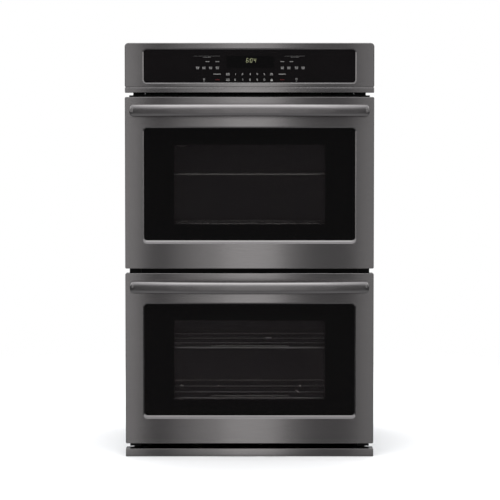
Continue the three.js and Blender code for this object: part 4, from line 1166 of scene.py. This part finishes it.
bead_half_width = 9 * MM
bead_rise = 3 * MM
narrow_bead = (6 * MM, 2 * MM)
seam_screws = 7
seam_inset = 14 * MM
for side, sign in (("left", -1), ("right", 1)):
    low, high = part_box("side_panel_" + side)
    outer_x = high.x if sign > 0 else low.x
    middle_y = (low.y + high.y) / 2
    bead_ends = (low.z + 90 * MM, high.z - 90 * MM)
    side_pieces = [dome_bead(outer_x, [(y, z) for z in bead_ends], bead_half_width, bead_rise, sign)
                   for y in (low.y + 110 * MM, middle_y, high.y - 110 * MM)]
    for z in (low.z + 45 * MM, high.z - 45 * MM):
        level_ends = ((low.y + 170 * MM, z), (high.y - 170 * MM, z))
        side_pieces.append(dome_bead(outer_x, level_ends, *narrow_bead, sign))
    beads = rods_piece("side_beads_" + side, side_pieces, galvanised, "oven_case")
    # Screws run up both seams, from 30 mm above the bottom to 12 mm below the top.
    screws = []
    screw_pitch = (high.z - low.z - 42 * MM) / (seam_screws - 1)
    for i in range(seam_screws):
        z = low.z + 30 * MM + i * screw_pitch
        for y in (low.y + seam_inset, high.y - seam_inset):
            screws += screw((outer_x, y, z), (sign, 0, 0))
    side_screws = rods_piece("side_screws_" + side, screws, galvanised, "oven_case", smooth_angle=30)

# Hooded louvres over the rear slots let warm air out and keep fingers off the wiring.
rear_low, rear_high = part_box("rear_panel")
top_low, top_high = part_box("top_cover")
louvres = []
louvre_rows = 6
louvre_pitch = 14 * MM
first_louvre = 60 * MM
slot_half = 47 * MM
# A hood seen end on: how far out and how high, in millimetres. It flattens towards its two ends.
hood_profile = ((0.0, 4.2), (2.4, 4.0), (4.6, 1.0), (5.4, -3.4), (4.6, -3.4), (0.0, -3.2))
hood_stations = ((-1.0, 0.2), (-0.94, 0.7), (-0.85, 1.0), (0.85, 1.0), (0.94, 0.7), (1.0, 0.2))
for bank_x in (-170 * MM, 0.0):
    for row in range(louvre_rows):
        z = top_high.z - first_louvre - row * louvre_pitch
        hood = [[(bank_x + share * slot_half, rear_high.y + out * height * MM, z + up * MM)
                 for out, up in hood_profile] for share, height in hood_stations]
        points = [Vector(p) for ring in hood for p in ring]
        louvres.append((points, skin_faces(len(hood), len(hood[0]))))
rear_louvres = rods_piece("rear_louvres", louvres, galvanised, "oven_case", smooth_angle=45)

# Three rows of screws hold the rear panel, and four more the lid of the terminal box. The lid's screws are
# sunk by their own height, so that they don't stand out past the oven's depth.
rear_pieces = []
row_screws = 6
row_pitch = (rear_high.z - rear_low.z - 50 * MM) / (row_screws - 1)
for x in (rear_low.x + 12 * MM, 0.0, rear_high.x - 12 * MM):
    for i in range(row_screws):
        rear_pieces += screw((x, rear_high.y, rear_low.z + 30 * MM + i * row_pitch), (0, 1, 0))
box_low, box_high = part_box("terminal_box")
lid_inset = 8 * MM
screw_height = 3.4 * MM
for x in (box_low.x + lid_inset, box_high.x - lid_inset):
    for z in (box_low.z + lid_inset, box_high.z - lid_inset):
        rear_pieces += screw((x, box_high.y - screw_height, z), (0, 1, 0))
rear_screws = rods_piece("rear_screws", rear_pieces, galvanised, "oven_case", smooth_angle=30)


def rear_bead(x, start_z, end_z):
    """An upright bead on the rear panel."""
    points, faces = dome_bead(0.0, ((0.0, start_z), (0.0, end_z)), bead_half_width, bead_rise, 1)
    return [Vector((x + p.y, rear_high.y + p.x, p.z)) for p in points], faces


rear_bead_pieces = [rear_bead(x * MM, rear_low.z + 80 * MM, rear_high.z - 260 * MM)
                    for x in (-240, -80, 80, 240)]
rear_beads = rods_piece("rear_beads", rear_bead_pieces, galvanised, "oven_case")


def top_bead(y, half_x):
    """A level bead on the top cover."""
    points, faces = dome_bead(0.0, ((-half_x, 0.0), (half_x, 0.0)), bead_half_width, bead_rise, 1)
    return [Vector((p.y, y + p.z, top_high.z + p.x)) for p in points], faces


top_bead_pieces = [top_bead(top_low.y + share * (top_high.y - top_low.y), 270 * MM)
                   for share in (0.22, 0.5, 0.78)]
top_beads = rods_piece("top_beads", top_bead_pieces, galvanised, "oven_case")
dress(["side_panel_left", "side_panel_right", "top_cover", "base_pan", "rear_panel", "terminal_box",
       "cooling_fan_housing", "cooling_fan_wheel"], galvanised)

# ---------------------------------------------------------------- hinges and latch hooks
# Hinge arms, their channels and the latch hooks are stamped from thick strip and zinc plated,
# which leaves them brighter and smoother than the case, with a faint yellow cast.
zinc_plate, shader = new_material("zinc_plated_strip", Metallic=1.0, Roughness=0.3)
stamping, zinc_tint = mottle(zinc_plate, 14.3 * MM, 4.0, "#a3a193", "#c3c2bb")[1:]
zinc_rough = node(zinc_plate, "ShaderNodeMapRange",
                  {"Value": stamping.outputs["Fac"], "To Min": 0.22, "To Max": 0.42})
feed(shader, Base_Color=zinc_tint, Roughness=zinc_rough)
for oven in ovens:
    dress([oven + "_hinge_" + part + "_" + side
           for part in ("arm", "channel") for side in ("left", "right")], zinc_plate)
    dress([oven + "_latch_hook"], zinc_plate)

# ---------------------------------------------------------------- black trims
# Vent trim, centre deck and side trims are folded sheet with a fine satin black powder coat.
# They vanish in the gaps between the doors, but for a dull edge.
powder_coat, shader = new_material("satin_black_powder_coat", Roughness=0.55)
# The coat's texture is about 1.5 mm from crest to crest.
texture, coat_tint = mottle(powder_coat, 1.54 * MM, 2.0, "#0c0c0d", "#171718")[1:]
coat_bump = node(powder_coat, "ShaderNodeBump",
                 {"Height": texture.outputs["Fac"], "Strength": 0.3, "Distance": 0.3 * MM})
feed(shader, Base_Color=coat_tint, Normal=coat_bump)
dress(["vent_trim", "centre_deck", "side_trim_left", "side_trim_right"], powder_coat)

# ---------------------------------------------------------------- insulation
# A mineral wool blanket wraps each cavity, tied on with wire behind the panels. It is pale buff, matt
# and fibrous, in tangled tufts about 3 mm across.
wool, shader = new_material("mineral_wool_blanket", Roughness=1.0)
fibres, wool_tint = mottle(wool, 3.125 * MM, 6.0, "#a39a78", "#d9d2b6")[1:]
fibres.inputs["Distortion"].default_value = 1.5
wool_bump = node(wool, "ShaderNodeBump",
                 {"Height": fibres.outputs["Fac"], "Strength": 0.8, "Distance": 2 * MM})
feed(shader, Base_Color=wool_tint, Normal=wool_bump)
dress([oven + "_insulation" for oven in ovens], wool)

# ---------------------------------------------------------------- control board
# An epoxy glass circuit board stands behind the touch panel. Its green solder mask is smooth and half
# glossy, and lighter along the copper tracks under it.
board, shader = new_material("green_solder_mask", Roughness=0.35)
board_place = node(board, "ShaderNodeTexCoord")
track_runs = 34.0
tracks = node(board, "ShaderNodeTexBrick",
              {"Vector": board_place.outputs["Generated"], "Scale": track_runs, "Mortar Size": 0.012,
               "Color1": linear("#14452a"), "Color2": linear("#185033"), "Mortar": linear("#2f7a4c")})
feed(shader, Base_Color=tracks)
dress(["control_board"], board)

# ---------------------------------------------------------------- latch motors, plungers, fan motor
# Latch motor and door switch share a moulded black phenolic body. The switch plunger is dark acetal,
# and the fan motor is a shaded-pole motor painted black.
phenolic, shader = new_material("moulded_black_phenolic", Roughness=0.45)
# Its mineral filler shows as a fine grain, about 2.4 mm across.
filler, filler_tint = mottle(phenolic, 2.38 * MM, 3.0, "#111112", "#1e1d1d")[1:]
filler_bump = node(phenolic, "ShaderNodeBump",
                   {"Height": filler.outputs["Fac"], "Strength": 0.15, "Distance": 0.3 * MM})
feed(shader, Base_Color=filler_tint, Normal=filler_bump)
dress([oven + "_latch_motor" for oven in ovens] + ["cooling_fan_motor"], phenolic)

# Acetal is slippery and smooth, with faint flow marks about 7 mm long.
acetal, shader = new_material("moulded_dark_acetal", Roughness=0.3, IOR=1.48)
feed(shader, Base_Color=mottle(acetal, 7.14 * MM, 2.0, "#1b1b1c", "#262627")[2])
for oven in ovens:
    low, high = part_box(oven + "_switch_plunger")
    tip = ((low.x + high.x) / 2, high.y, (low.z + high.z) / 2)
    length = high.y - low.y
    pin = [(0.2 * MM, 0), (3 * MM, 0), (3 * MM, length - 1.6 * MM), (2.4 * MM, length - 0.5 * MM),
           (1.2 * MM, length - 0.05 * MM), (0.2 * MM, length)]
    plunger = rods_piece(oven + "_plunger_pin", [turned(pin, tip, (0, -1, 0), 20)],
                         acetal, oven + "_switch_plunger")
    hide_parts(oven + "_switch_plunger")
